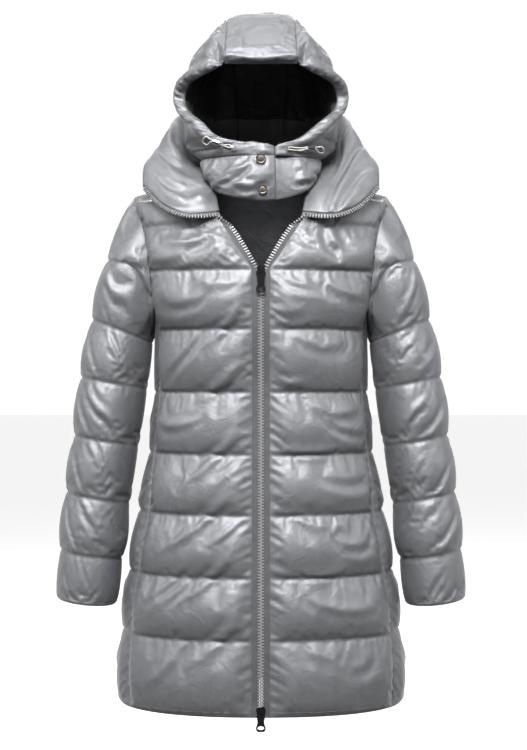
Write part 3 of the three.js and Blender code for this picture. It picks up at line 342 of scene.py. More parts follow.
def sleeveRing(row, angle):
    outX, outZ, inX, inZ, depth, y = row
    middle = Vector(((outX + inX) / 2, y, (outZ + inZ) / 2))
    reach = Vector(((outX - inX) / 2, 0, (outZ - inZ) / 2))
    return middle + reach * math.cos(angle) + Vector((0, -depth * math.sin(angle), 0))


def sleeveSection(index, angle):
    if index <= 0:
        return armholePoint(angle) + Vector((0.3, 0, 0))
    ring = sleeveRing(sleeve["rows"][min(index, len(sleeve["rows"])) - 1], angle)
    if index > 1:
        return ring
    hug = armholePoint(angle) + Vector((7, 0, -8 * smooth(1.6, 2.8, abs(angle))))
    return ring.lerp(hug, smooth(1.25, 2.3, abs(angle)))


def sleevePoint(u, v):
    angle = (u if u <= 0.5 else u - 1) * 2 * math.pi
    count = len(sleeve["rows"])
    i = int(clamp(math.floor(v), 0, count - 1))
    rings = [sleeveSection(clamp(i + k, 0, count), angle) for k in (-1, 0, 1, 2)]
    return through(rings, 1 + v - i)


# Collar: ribs from the zip edge round to the middle of the back, from the foot to the top
collar = {
    "ribs": [
        (0, (84, -97, -68), (112, -96, -67), (145, -77, -51), (173, -48, -20)),
        (0.3, (84, -78, -38), (112, -67, -29), (146, -45, -10), (173, -24, 10)),
        (0.65, (91, -33, 0), (115, -23, 9), (140, -6, 26), (158, 8, 38)),
        (1, (93, 5, 11), (112, 13, 28), (130, 24, 54), (140, 33, 76)),
        (1.33, (79, 45, 11), (102, 60, 33), (118, 76, 66), (126, 82, 105)),
        (1.67, (45, 75, 7), (57, 101, 33), (67, 121, 74), (72, 124, 121)),
        (2, (0, 89, 6), (0, 109, 33), (0, 126, 74), (0, 129, 126)),
    ],
    "lines": [0, 0.46, 1],
    "puff": 6.5,
    "innerPuff": 6,
}


def necklinePoint(t):
    if t <= 1:
        return frontPoint(0, 0.86 * (1 - t))
    s = body["shoulder"]
    edge = turnOf(s["innerX"], s["outerZ"]) / turnOf(s["outerX"], s["outerZ"])
    return backPoint(edge * (2 - t), 0)


def collarCurve(rib, v):
    foot, *rest = rib
    lift = Vector((0.1, -1, 0.2)).lerp(Vector((0, 0, 1)), smooth(0, 0.8, foot)).normalized()
    start = necklinePoint(foot) + 2.3 * lift
    return through([start, *(Vector(p) for p in rest)], v * 4)


def collarPoint(u, v):
    ribs = collar["ribs"]
    last = len(ribs) - 1
    ribAt = (1 - abs(u)) * last
    i = int(clamp(math.floor(ribAt), 0, last - 1))
    around = []
    for k in (-1, 0, 1, 2):
        at = i + k
        if at > last:
            around.append(mirrored(collarCurve(ribs[2 * last - at], v), -1))
        else:
            around.append(collarCurve(ribs[max(at, 0)], v))
    return mirrored(through(around, 1 + ribAt - i), -1 if u < 0 else 1)


# Hood: the middle strip in profile, and the side's ribs from the face round to the strip
hood = {
    "strip": [  # k, y, z, half width, crown
        (0, -92, 146, 52, 1),
        (1, -97, 164, 52, 2),
        (2, -45, 217, 51, 6),
        (3, 10, 243, 50, 8),
        (4, 70, 224, 46, 7),
        (5, 108, 165, 42, 5),
        (6, 112, 100, 38, 5),
        (7, 93, 48, 34, 6),
        (8, 66, -4, 30, 9),
    ],
    "quilt": [0, 1, 2, 3.3, 4.5, 5.65, 6.9, 8],
    "ribs": [  # edge, near, side, far, and the place on the strip that the rib meets
        ((55.6, -89, 144.6), (55.8, -90, 145.8), (55.8, -91, 147), (55.2, -93, 148.4), 0.18),
        ((76, -79, 136), (81, -74, 159), (75, -66, 181), (63, -62, 195), 1.6),
        ((102, -61, 125), (102, -45, 150), (89, -25, 180), (69, -5, 209), 3),
        ((111, -50, 108), (107, -15, 131), (91, 25, 171), (68, 55, 200), 4),
        ((106, -58, 87), (107, -18, 100), (97, 40, 129), (75, 86, 151), 5),
        ((84, -76, 66), (108, -35, 66), (103, 42, 84), (75, 98, 96), 6),
        ((55, -88, 41), (103, -45, 40), (102, 25, 45), (72, 78, 46), 7),
        ((0, -95, 29), (84, -60, 25), (91, 8, 31), (64, 52, 19), 7.6),
        ((0, -97, 15), (78, -64, 15), (84, -6, 19), (58, 32, 8), 8),
    ],
    "channel": 20,
    "bandTop": 103,
    "puff": 5.5,
    "laps": {"left": 19.1, "right": -18.6},
}
guard = {
    "foot": [(0, -97, -51), (49, -91, -43), (71.5, -66, -26), (73.5, -42, 4), (73, -5, 13.5)],
    "laps": {"left": -8, "right": -18.6},
    "sink": {"left": 5.2, "right": 0},
    "puff": 7,
}
snaps = [
    {"node": "snap_upper", "x": 0, "z": 9, "radius": 7},
    {"node": "snap_lower", "x": 2.5, "z": -35, "radius": 6.5},
]
stripSide = 4
chinStep = hood["ribs"][-1][1][0]


def stripPoint(u, k):
    rows = hood["strip"]
    step = 0.01
    dy = column(rows, 1, k + step) - column(rows, 1, k - step)
    dz = column(rows, 2, k + step) - column(rows, 2, k - step)
    long = math.hypot(dy, dz)
    sink = column(rows, 4, k) * u * u
    x = column(rows, 3, k) * u
    return Vector((x, column(rows, 1, k) + sink * dz / long, column(rows, 2, k) - sink * dy / long))


def metAt(v):
    ribs = hood["ribs"]
    i = int(clamp(math.floor(v), 0, len(ribs) - 2))
    return mix(ribs[i][4], ribs[i + 1][4], v - i)


def rowMeeting(k):
    ribs = hood["ribs"]
    i = 0
    while i < len(ribs) - 2 and ribs[i + 1][4] < k:
        i += 1
    return i + (k - ribs[i][4]) / (ribs[i + 1][4] - ribs[i][4])


def hoodRib(rib, u, lap):
    edge, near, side, far, k = rib
    start = lap / chinStep
    first = lap / near[0] if edge[0] == 0 else 0
    t = mix(first, stripSide, (u - start) / (stripSide - start))
    ahead = Vector((-near[0], near[1], near[2]))
    return through([ahead, Vector(edge), Vector(near), Vector(side), Vector(far), stripPoint(1, k)], 1 + t)


def hoodPoint(u, v, lap):
    ribs = hood["ribs"]
    last = len(ribs) - 1
    i = int(clamp(math.floor(v), 0, last - 1))

    def place(at):
        around = [hoodRib(ribs[int(clamp(i + k, 0, last))], at, lap) for k in (-1, 0, 1, 2)]
        return around[1].lerp(around[2], v - i) if i == last - 1 else through(around, 1 + v - i)

    p = place(u)
    share = smooth(2.6, stripSide, u)
    return p + (stripPoint(1, metAt(v)) - place(stripSide)) * share if share > 0 else p


def guardPoint(u, v, lap, sink):
    edge, near, side, far, _ = hood["ribs"][-1]
    seam = [Vector((-near[0], near[1], near[2])), Vector(edge), Vector(near), Vector(side), Vector(far)]
    one = guard["foot"][1]
    foot = [Vector((-one[0], one[1], one[2])), *(Vector(p) for p in guard["foot"])]
    start = lap / chinStep
    low = through(foot, 1 + mix(lap / one[0], 4, (u - start) / (2 - start)))
    p = through(seam, 1 + u).lerp(low, v)
    out = Vector((p.x, p.y, 0)).normalized()
    return p + out * (16 * v * (1 - v) - sink * smooth(0.75, 0.3, u))


# Grids of points on the cloth
def layGrid(point, across, down, side=1):
    rows = [[mirrored(point(u, v), side) * mm for u in across] for v in down]
    return np.array([[tuple(p) for p in row] for row in rows])


def gridNormals(grid, ring, out):
    if ring:
        du = np.roll(grid, -1, 1) - np.roll(grid, 1, 1)
    else:
        du = np.gradient(grid, axis=1)
    dv = np.gradient(grid, axis=0)
    normals = np.cross(du, dv)
    size = np.linalg.norm(normals, axis=2, keepdims=True)
    normals /= np.maximum(size, 1e-12)
    middle = normals[grid.shape[0] // 2, grid.shape[1] // 2]
    return normals if middle @ np.array(out) > 0 else -normals


def finer(grid, ring):
    # twice as many points each way, on smooth curves through the old ones
    def along(a, closed):
        if closed:
            before, after, later = np.roll(a, 1, 0), np.roll(a, -1, 0), np.roll(a, -2, 0)
        else:
            before = np.concatenate([a[:1], a[:-1]])
            after = np.concatenate([a[1:], a[-1:]])
            later = np.concatenate([a[2:], a[-1:], a[-1:]])
        middle = (9 * (a + after) - before - later) / 16
        both = np.stack([a, middle], 1).reshape(-1, *a.shape[1:])
        return both if closed else both[:-1]

    tall = along(grid, False)
    return along(tall.swapaxes(0, 1), ring).swapaxes(0, 1)


def gridFaces(rows, cols, ring, first=0):
    index = first + np.arange(rows * cols).reshape(rows, cols)
    if ring:
        index = np.concatenate([index, index[:, :1]], 1)
    a, b, c, d = index[:-1, :-1], index[:-1, 1:], index[1:, 1:], index[1:, :-1]
    return np.stack([a, b, c, d], -1).reshape(-1, 4)


def newMesh(name, points, faces):
    mesh = bpy.data.meshes.new(name)
    mesh.from_pydata([tuple(p) for p in points], [], [tuple(int(i) for i in f) for f in faces])
    mesh.update()
    made = bpy.data.objects.new(name, mesh)
    bpy.context.scene.collection.objects.link(made)
    return made


def stops(count, low=0.0, high=1.0):
    return [mix(low, high, i / count) for i in range(count + 1)]


def linedStops(lines, spacing, length):
    # stops that fall on each quilting line, about spacing apart
    made = [lines[0]]
    for low, high in zip(lines, lines[1:]):
        count = max(2, round(length(low, high) / spacing))
        made += [mix(low, high, (i + 1) / count) for i in range(count)]
    return made


# Creases, each a soft trough or ridge from one place to another, measured on the flat panel:
# (across, down, across, down, height, half width)
def creaseField(flat, creases):
    total = np.zeros(flat.shape[:2])
    for x0, y0, x1, y1, high, wide in creases:
        start = np.array([x0, y0])
        way = np.array([x1 - x0, y1 - y0], float)
        long = np.hypot(*way)
        way /= long
        off = flat - start
        along = off @ way / long
        bow = 0.09 * long * np.sin(np.clip(along, 0, 1) * math.pi)
        aside = off @ np.array([-way[1], way[0]]) - bow
        ends = np.clip(np.minimum(along, 1 - along) * 2.6, 0, 1) ** 0.8
        ridge = np.exp(-((aside / wide) ** 2)) - 0.45 * np.exp(-(((np.abs(aside) - 1.9 * wide) / wide) ** 2))
        total += high * ridge * ends
    return total


def flatPlaces(grid, ring):
    # distance across and down in millimetres from the first corner
    across = np.linalg.norm(np.diff(grid, axis=1), axis=2)
    down = np.linalg.norm(np.diff(grid, axis=0), axis=2)
    x = np.concatenate([np.zeros((grid.shape[0], 1)), np.cumsum(across, 1)], 1)
    y = np.concatenate([np.zeros((1, grid.shape[1])), np.cumsum(down, 0)], 0)
    return np.stack([x, y], -1) / mm


# Puckers: short gathers that run out from each line of stitching, uneven along it
pucker = {"spacing": 5.6, "high": 0.85, "reach": 9, "edgeHigh": 1.35, "edgeReach": 15}


def unevenWave(places, spacing, source):
    knots, values = [-60.0], [0.0]
    while knots[-1] < float(places.max()) + 60:
        knots.append(knots[-1] + spacing * source.uniform(0.45, 1.7))
        values.append(source.uniform(0.35, 1) * (1 if len(values) % 2 else -1))
    knots, values = np.array(knots), np.array(values)
    i = np.clip(np.searchsorted(knots, places) - 1, 0, len(knots) - 2)
    t = (places - knots[i]) / (knots[i + 1] - knots[i])
    t = t * t * (3 - 2 * t)
    return values[i] * (1 - t) + values[i + 1] * t


def gathered(places, away, high, reach, spacing, source):
    # gathers that start at a line, are deepest close to it and run out at a slant
    slant = source.uniform(-0.35, 0.35)
    wave = unevenWave(places + slant * away, spacing, source)
    near = 1 - np.exp(-((away / 2.2) ** 2))
    longer = reach * (0.7 + 0.6 * np.abs(unevenWave(places, spacing * 4, source)))
    return high * wave * near * np.exp(-((away / longer) ** 1.4))


def puckerField(name, panel, flat):
    source = random.Random(name)
    total = np.zeros(flat.shape[:2])
    lines = [2 * k for k in range(panel["sewn"].shape[0]) if panel["sewn"][k].all()]
    for low, high in zip(lines, lines[1:]):
        part = slice(low, high + 1)
        for line in (low, high):
            away = np.abs(flat[part, :, 1] - flat[line, :, 1])
            short = (pucker["high"], pucker["reach"], pucker["spacing"])
            total[part] += gathered(flat[part, :, 0], away, *short, source)
    if not panel["ring"]:
        for edge in (0, -1):
            away = np.abs(flat[:, :, 0] - flat[:, edge, 0][:, None])
            spacing = pucker["spacing"] * 1.3
            total += gathered(flat[:, :, 1], away, pucker["edgeHigh"], pucker["edgeReach"], spacing, source)
    for across, high, spacing in panel.get("gathers", ()):  # a drawn channel along one edge
        away = flat[:, :, 0]
        wave = unevenWave(flat[:, :, 1] + 0.2 * away, spacing, source)
        total += high * wave * np.clip((across - away) / 6, 0, 1) * np.clip(away / 2, 0.4, 1)
    return total * mm


quilted = {}


def addPanel(name, point, across, down, lines, puff, out, side=1, ring=False, creases=(), **more):
    grid = layGrid(point, across, down, side)
    normals = gridNormals(grid, ring, out)
    high = np.array([[puff(u, v) for u in across] for v in down]) * mm
    sewn = np.zeros(grid.shape[:2])
    for line in lines:
        sewn[int(np.argmin(np.abs(np.array(down) - line)))] = 1
    sewn[0] = sewn[-1] = 1
    if not ring:
        sewn[:, 0] = sewn[:, -1] = 1
    quilted[name] = {
        "grid": grid,
        "normals": normals,
        "puff": high,
        "sewn": sewn,
        "ring": ring,
        "side": side,
        "across": across,
        "down": down,
        "lines": lines,
        "creases": list(creases),
        **more,
    }


def startShape(panel):
    flat = flatPlaces(panel["grid"], panel["ring"])
    panel["flat"] = flat
    panel["field"] = creaseField(flat, panel["creases"]) * mm if panel["creases"] else 0
    calm = np.minimum(1, panel["puff"] / (3 * mm))
    lift = 0.72 * panel["puff"] + 0.7 * panel["field"] * calm
    return panel["grid"] + panel["normals"] * lift[:, :, None]


cloth = {
    "frames": 22,
    "quality": 6,
    "pressure": 4.5,
    "extra": 0.009,  # share by which the shell is longer than its base
    "mass": 0.2,
    "stiff": 12,
    "bending": 0.4,
    "cell": 5.0,
}


def clothPass(names):
    # the shell of each panel swells between its quilting lines, where it is pinned
    made = {}
    for name in names:
        panel = quilted[name]
        start = startShape(panel)
        rows, cols = start.shape[:2]
        faces = gridFaces(rows, cols, panel["ring"])
        a, b, c = (start.reshape(-1, 3)[faces[len(faces) // 2, k]] for k in range(3))
        facing = np.cross(b - a, c - b) @ panel["normals"].reshape(-1, 3)[faces[len(faces) // 2, 0]]
        if facing < 0:
            faces = faces[:, ::-1]
        shell = newMesh("swell_" + name, start.reshape(-1, 3), faces)
        group = shell.vertex_groups.new(name="sewn")
        group.add([int(i) for i in np.flatnonzero(panel["sewn"].ravel() > 0)], 1.0, "REPLACE")
        swell = shell.modifiers.new("swell", "CLOTH")
        settings = swell.settings
        settings.quality = cloth["quality"]
        settings.mass = cloth["mass"]
        settings.tension_stiffness = cloth["stiff"]
        settings.compression_stiffness = cloth["stiff"]
        settings.shear_stiffness = cloth["stiff"] * 0.4
        settings.bending_stiffness = cloth["bending"]
        settings.tension_damping = settings.compression_damping = 8
        settings.use_pressure = True
        settings.uniform_pressure_force = cloth["pressure"] * panel.get("press", 1)
        settings.shrink_min = -cloth["extra"] * panel.get("extra", 1)
        settings.vertex_group_mass = "sewn"
        settings.effector_weights.gravity = 0.15
        swell.collision_settings.use_collision = False
        swell.point_cache.frame_end = cloth["frames"] + 2
        made[name] = shell
    scene = bpy.context.scene
    for number in range(1, cloth["frames"] + 1):
        scene.frame_set(number)
    for name, shell in made.items():
        bpy.context.view_layer.objects.active = shell
        bpy.ops.object.modifier_apply(modifier="swell")
        co = np.zeros(len(shell.data.vertices) * 3)
        shell.data.vertices.foreach_get("co", co)
        panel = quilted[name]
        moved = co.reshape(panel["grid"].shape)
        aim = panel["grid"] + panel["normals"] * panel["puff"][:, :, None]
        off = moved - aim
        size = np.linalg.norm(off, axis=2)
        room = panel.get("room", 9) * mm * np.minimum(1, 0.12 + panel["puff"] / (5 * mm))
        if "calm" in panel:
            room = room * panel["calm"]
        off *= np.minimum(1, room / np.maximum(size, 1e-9))[:, :, None]
        panel["shell"] = aim + off
        mesh = shell.data
        bpy.data.objects.remove(shell)
        bpy.data.meshes.remove(mesh)
    scene.frame_set(1)


# Folds of the collar's inner face beside the zip: across from its edge, up from its foot
collarFolds = [
    (30, 8, 22, 105, 3.6, 8), (50, 2, 45, 124, -7.5, 6), (74, 8, 80, 116, 4.6, 11),
    (102, 30, 97, 118, -3.2, 6),
    (13, 18, 46, 40, 2.2, 5), (10, 48, 44, 72, 2, 5), (12, 82, 38, 102, 1.8, 4), (124, 20, 132, 110, 3, 9),
    (58, 24, 92, 62, 1.8, 5), (150, 30, 146, 116, -2.6, 7), (60, 84, 96, 70, 1.6, 5),
]


def insideFolds(name, flat):
    # the lining hangs in soft folds: mostly downwards, some slanting, uneven in length and height
    source = random.Random(name + " inside")
    wide, tall = float(flat[:, -1, 0].max()), float(flat[-1, :, 1].max())
    folds = []
    if name == "collar":
        for x0, y0, x1, y1, high, half in collarFolds:
            folds.append((x0, y0, x1, y1, high, half))
            folds.append((wide - 1.07 * x0, y0 + 4, wide - 1.04 * x1, y1 - 3, high * 0.92, half))
        return folds
    for number in range(max(3, round(wide * tall / 5200))):
        x, y = source.uniform(0, wide), source.uniform(0, tall)
        long = source.uniform(40, 120)
        turn = source.gauss(math.pi / 2, 0.5)
        high = source.uniform(1.2, 3.2) * source.choice((1, 1, -1))
        end = (x + long * math.cos(turn), y + long * math.sin(turn))
        folds.append((x, y, *end, high, source.uniform(6, 13)))
    return folds


def finishWall(name, materials, innerKind):
    # closes a panel: its swollen shell outside, a plain lining inside, and the folded edge between
    panel = quilted[name]
    ring = panel["ring"]
    field = panel["field"]
    shell = panel["shell"]
    if not isinstance(field, int):
        calm = np.minimum(1, panel["puff"] / (4 * mm)) * panel.get("keep", 0.3)
        shell = shell + panel["normals"] * (field * calm)[:, :, None]
    outer = finer(shell, ring)
    fineFlat = finer(np.concatenate([panel["flat"], panel["flat"][:, :, :1]], 2), ring)[:, :, :2]
    if ring:  # the last column wraps, so it is measured on from the one before
        fineFlat[:, -1] = 2 * fineFlat[:, -2] - fineFlat[:, -3]
    finePuff = finer(np.repeat(panel["puff"][:, :, None], 3, 2), ring)[:, :, 0]
    few, less = panel["grid"].shape[:2]
    middle = panel["normals"][few // 2, less // 2]
    around = gridNormals(outer, ring, middle)
    raised = puckerField(name, panel, fineFlat) * np.clip(finePuff / (2.5 * mm), 0, 1)
    if "calm" in panel:
        raised = raised * finer(np.repeat(panel["calm"][:, :, None], 3, 2), ring)[:, :, 0]
    outer = outer + around * raised[:, :, None]
    folds = creaseField(panel["flat"], insideFolds(name, panel["flat"])) * mm
    edges = panel["flat"][:, :, 0] * (panel["flat"][:, -1:, 0] - panel["flat"][:, :, 0])
    folds *= 1 if ring else np.clip(edges / 800, 0, 1)
    least = -0.8 * panel["innerPuff"] - 1.2 * mm
    deep = panel["thick"] + panel["innerPuff"] + np.clip(folds, least, 5 * mm)
    inner = panel["grid"] - panel["normals"] * deep[:, :, None]
    rows, cols = outer.shape[:2]
    points = np.concatenate([outer.reshape(-1, 3), inner.reshape(-1, 3)])
    faces = [tuple(f) for f in gridFaces(rows, cols, ring)]
    kinds = [0] * len(faces)
    first = rows * cols
    inside = gridFaces(few, less, ring, first)
    faces += [tuple(f[::-1]) for f in inside]
    kinds += list(innerKind(panel, few, less).ravel())
    fine = np.arange(rows * cols).reshape(rows, cols)
    coarse = first + np.arange(few * less).reshape(few, less)

    def rim(outerLine, innerLine, closed, flip):
        count = len(innerLine) if closed else len(innerLine) - 1
        for i in range(count):
            j = (i + 1) % len(innerLine)
            opposite = (outerLine[(2 * i + 2) % len(outerLine)], outerLine[2 * i + 1], outerLine[2 * i])
            face = (innerLine[i], innerLine[j], *opposite)
            faces.append(face[::-1] if flip else face)
            kinds.append(0)

    rim(fine[0], coarse[0], ring, False)
    rim(fine[-1], coarse[-1], ring, True)
    if not ring:
        rim(fine[:, 0], coarse[:, 0], False, True)
        rim(fine[:, -1], coarse[:, -1], False, False)
    made = newMesh("cloth_" + name, points, faces)
    mesh = made.data
    for material in materials:
        mesh.materials.append(material)
    mesh.polygons.foreach_set("material_index", [int(k) for k in kinds])
    uv = np.concatenate([fineFlat.reshape(-1, 2), panel["flat"].reshape(-1, 2)]) * mm
    loops = np.zeros(len(mesh.loops), int)
    mesh.loops.foreach_get("vertex_index", loops)
    layer = mesh.uv_layers.new(name="cloth")
    layer.data.foreach_set("uv", uv[loops].ravel())
    work = bmesh.new()
    work.from_mesh(mesh)
    bmesh.ops.recalc_face_normals(work, faces=work.faces)
    work.to_mesh(mesh)
    work.free()
    mesh.polygons.foreach_set("use_smooth", [True] * len(mesh.polygons))
    mesh.update()
    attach(made, "jacket")
    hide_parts(name)
    panel["outer"] = outer
    panel["outNormals"] = gridNormals(outer, ring, middle)
    return made


# Materials
def newMaterial(name, color, rough, metal=0.0, **sockets):
    material = bpy.data.materials.new(name)
    material.use_nodes = True
    shader = material.node_tree.nodes["Principled BSDF"]
    shader.inputs["Base Color"].default_value = (*color, 1)
    shader.inputs["Roughness"].default_value = rough
    shader.inputs["Metallic"].default_value = metal
    for socket, value in sockets.items():
        shader.inputs[socket.replace("_", " ")].default_value = value
    return material, material.node_tree, shader


def groupSocket(tree, name, kind, way, value=None):
    socket = tree.interface.new_socket(name=name, in_out=way, socket_type=kind)
    if value is not None:
        socket.default_value = value
    return socket


def mathNode(tree, operation, a, b=None):
    node = tree.nodes.new("ShaderNodeMath")
    node.operation = operation
    for i, value in enumerate((a, b)):
        if value is None:
            continue
        if isinstance(value, (int, float)):
            node.inputs[i].default_value = value
        else:
            tree.links.new(value, node.inputs[i])
    return node.outputs[0]


def makeWeave():
    # threads that cross at right angles, as a height from 0 to 1
    tree = bpy.data.node_groups.new("wovenThreads", "ShaderNodeTree")
    groupSocket(tree, "Vector", "NodeSocketVector", "INPUT")
    groupSocket(tree, "Threads", "NodeSocketFloat", "INPUT", 1500)
    groupSocket(tree, "Height", "NodeSocketFloat", "OUTPUT")
    start = tree.nodes.new("NodeGroupInput")
    end = tree.nodes.new("NodeGroupOutput")
    split = tree.nodes.new("ShaderNodeSeparateXYZ")
    tree.links.new(start.outputs["Vector"], split.inputs[0])
    waves = []
    for axis in (0, 1):
        turned = mathNode(tree, "MULTIPLY", split.outputs[axis], start.outputs["Threads"])
        waves.append(mathNode(tree, "SINE", turned))
    both = mathNode(tree, "MULTIPLY", waves[0], waves[1])
    tree.links.new(mathNode(tree, "MULTIPLY_ADD", both, 0.5), end.inputs["Height"])
    tree.nodes[-1].inputs[2].default_value = 0.5
    return tree


def makeCrinkle():
    # the fine crumple of light nylon: long soft ridges over smaller ones
    tree = bpy.data.node_groups.new("crinkle", "ShaderNodeTree")
    groupSocket(tree, "Vector", "NodeSocketVector", "INPUT")
    groupSocket(tree, "Scale", "NodeSocketFloat", "INPUT", 30)
    groupSocket(tree, "Height", "NodeSocketFloat", "OUTPUT")
    groupSocket(tree, "Shade", "NodeSocketFloat", "OUTPUT")
    start = tree.nodes.new("NodeGroupInput")
    end = tree.nodes.new("NodeGroupOutput")
    wide = tree.nodes.new("ShaderNodeTexNoise")
    wide.inputs["Detail"].default_value = 3
    wide.inputs["Distortion"].default_value = 1.4
    tree.links.new(start.outputs["Vector"], wide.inputs["Vector"])
    tree.links.new(start.outputs["Scale"], wide.inputs["Scale"])
    fine = tree.nodes.new("ShaderNodeTexNoise")
    fine.inputs["Detail"].default_value = 2
    fine.inputs["Distortion"].default_value = 0.8
    tree.links.new(start.outputs["Vector"], fine.inputs["Vector"])
    tree.links.new(mathNode(tree, "MULTIPLY", start.outputs["Scale"], 4.2), fine.inputs["Scale"])
    ridge = mathNode(tree, "ABSOLUTE", mathNode(tree, "SUBTRACT", wide.outputs["Fac"], 0.5))
    small = mathNode(tree, "MULTIPLY", fine.outputs["Fac"], 0.16)
    tree.links.new(mathNode(tree, "SUBTRACT", small, ridge), end.inputs["Height"])
    tree.links.new(wide.outputs["Fac"], end.inputs["Shade"])
    return tree


weave, crinkle = makeWeave(), makeCrinkle()


def groupNode(tree, group, vector, **values):
    node = tree.nodes.new("ShaderNodeGroup")
    node.node_tree = group
    tree.links.new(vector, node.inputs["Vector"])
    for name, value in values.items():
        node.inputs[name].default_value = value
    return node


def bump(tree, height, distance, before=None):
    node = tree.nodes.new("ShaderNodeBump")
    node.inputs["Distance"].default_value = distance
    tree.links.new(height, node.inputs["Height"])
    if before is not None:
        tree.links.new(before, node.inputs["Normal"])
    return node.outputs["Normal"]


def shadeBetween(tree, factor, dark, light):
    ramp = tree.nodes.new("ShaderNodeValToRGB")
    ramp.color_ramp.elements[0].position = 0.3
    ramp.color_ramp.elements[1].position = 0.7
    ramp.color_ramp.elements[0].color = (*dark, 1)
    ramp.color_ramp.elements[1].color = (*light, 1)
    tree.links.new(factor, ramp.inputs[0])
    return ramp.outputs[0]


def clothMaterial(name, dark, light, rough, crumple, threads, **sockets):
    material, tree, shader = newMaterial(name, light, rough, **sockets)
    place = tree.nodes.new("ShaderNodeTexCoord")
    folds = groupNode(tree, crinkle, place.outputs["Object"], Scale=crumple["scale"])
    woven = groupNode(tree, weave, place.outputs["UV"], Threads=threads["per"])
    color = shadeBetween(tree, folds.outputs["Shade"], dark, light)
    tree.links.new(color, shader.inputs["Base Color"])
    normal = bump(tree, folds.outputs["Height"], crumple["deep"])
    normal = bump(tree, woven.outputs["Height"], threads["deep"], normal)
    tree.links.new(normal, shader.inputs["Normal"])
    return material


finishes = {
    "shell": clothMaterial(
        "satin_shell", (0.15, 0.153, 0.162), (0.185, 0.188, 0.198), 0.52,
        {"scale": 34, "deep": 0.0011}, {"per": 9000, "deep": 0.00002},
        Metallic=0.5, Sheen_Weight=0.06, Sheen_Roughness=0.4,
    ),
    "lining": clothMaterial(
        "dark_lining", (0.035, 0.036, 0.04), (0.055, 0.056, 0.061), 0.36,
        {"scale": 30, "deep": 0.003}, {"per": 9000, "deep": 0.00002},
        Metallic=0.3, Sheen_Weight=0.1,
    ),
    "tape": clothMaterial(
        "woven_tape", (0.055, 0.056, 0.06), (0.08, 0.081, 0.086), 0.75,
        {"scale": 40, "deep": 0.0003}, {"per": 3200, "deep": 0.0002},
        Sheen_Weight=0.05,
    ),
}


def patternMaterial(name, dark, light, rough, metal, scale, deep, **sockets):
    material, tree, shader = newMaterial(name, light, rough, metal, **sockets)
    place = tree.nodes.new("ShaderNodeTexCoord")
    folds = groupNode(tree, crinkle, place.outputs["Object"], Scale=scale)
    tree.links.new(shadeBetween(tree, folds.outputs["Shade"], dark, light), shader.inputs["Base Color"])
    tree.links.new(bump(tree, folds.outputs["Height"], deep), shader.inputs["Normal"])
    return material


finishes["teeth"] = patternMaterial(
    "moulded_teeth", (0.17, 0.17, 0.176), (0.24, 0.24, 0.247), 0.34, 0, 300, 0.00005
)
finishes["thread"] = patternMaterial(
    "sewing_thread", (0.12, 0.12, 0.125), (0.2, 0.2, 0.21), 0.6, 0, 900, 0.0001
)
finishes["slider"] = patternMaterial(
    "black_enamel", (0.003, 0.003, 0.004), (0.006, 0.006, 0.007), 0.14, 0, 120, 0.00004, Coat_Weight=0.5
)
finishes["snap"] = patternMaterial(
    "antique_metal", (0.075, 0.066, 0.057), (0.17, 0.152, 0.132), 0.42, 1, 160, 0.0001
)
finishes["toggle"] = patternMaterial(
    "polished_toggle", (0.3, 0.3, 0.31), (0.6, 0.6, 0.62), 0.16, 1, 160, 0.00005
)
print("materials made")


# Faces of the solids, for seating things on them
def treeOf(names):
    points, faces = [], []
    for name in names:
        mesh = nodes[name].data
        first = len(points)
        points += [v.co / mm for v in mesh.vertices]
        faces += [tuple(first + i for i in p.vertices) for p in mesh.polygons]
    return BVHTree.FromPolygons(points, faces)


def frontFace(tree, x, z):
    hit = tree.ray_cast(Vector((x, -400, z)), Vector((0, 1, 0)))[0]
    return None if hit is None else hit.y


def liftedFrom(tree, x, z, height):
    step = 1.5
    y = frontFace(tree, x, z)
    west, east = frontFace(tree, x - step, z), frontFace(tree, x + step, z)
    low, high = frontFace(tree, x, z - step), frontFace(tree, x, z + step)
    normal = Vector(((east - west) / (2 * step), -1, (high - low) / (2 * step))).normalized()
    return Vector((x, y, z)) + normal * height


def bulgeOver(tree, seat, out, halfX, halfZ):
    # how far the cloth stands above a plane within a small area in front of it
    most = 0
    for right in stops(6, -1, 1):
        for up in stops(6, -1, 1):
            x, z = seat.x + right * halfX, seat.z + up * halfZ
            y = frontFace(tree, x, z)
            if y is not None:
                most = max(most, (Vector((x, y, z)) - seat).dot(out))
    return most


# Hood cords: out of a slot, through the toggle, round a loop and in again
hoodCords = {
    "wide": 2,
    "gap": 0.3,
    "places": [
        {"name": "left", "exit": (39.5, 25), "toggle": (70, 26.5)},
        {"name": "right", "exit": (-38.5, 25), "toggle": (-63.5, 33.5)},
    ],
    "toggle": {"long": 10, "wide": 8.6, "deep": 6, "lift": 0.3},
    "loop": {"apart": 1.25, "radius": 4.2, "beyond": 11},
    "overRim": 2.2,
    "free": 0.8,
}


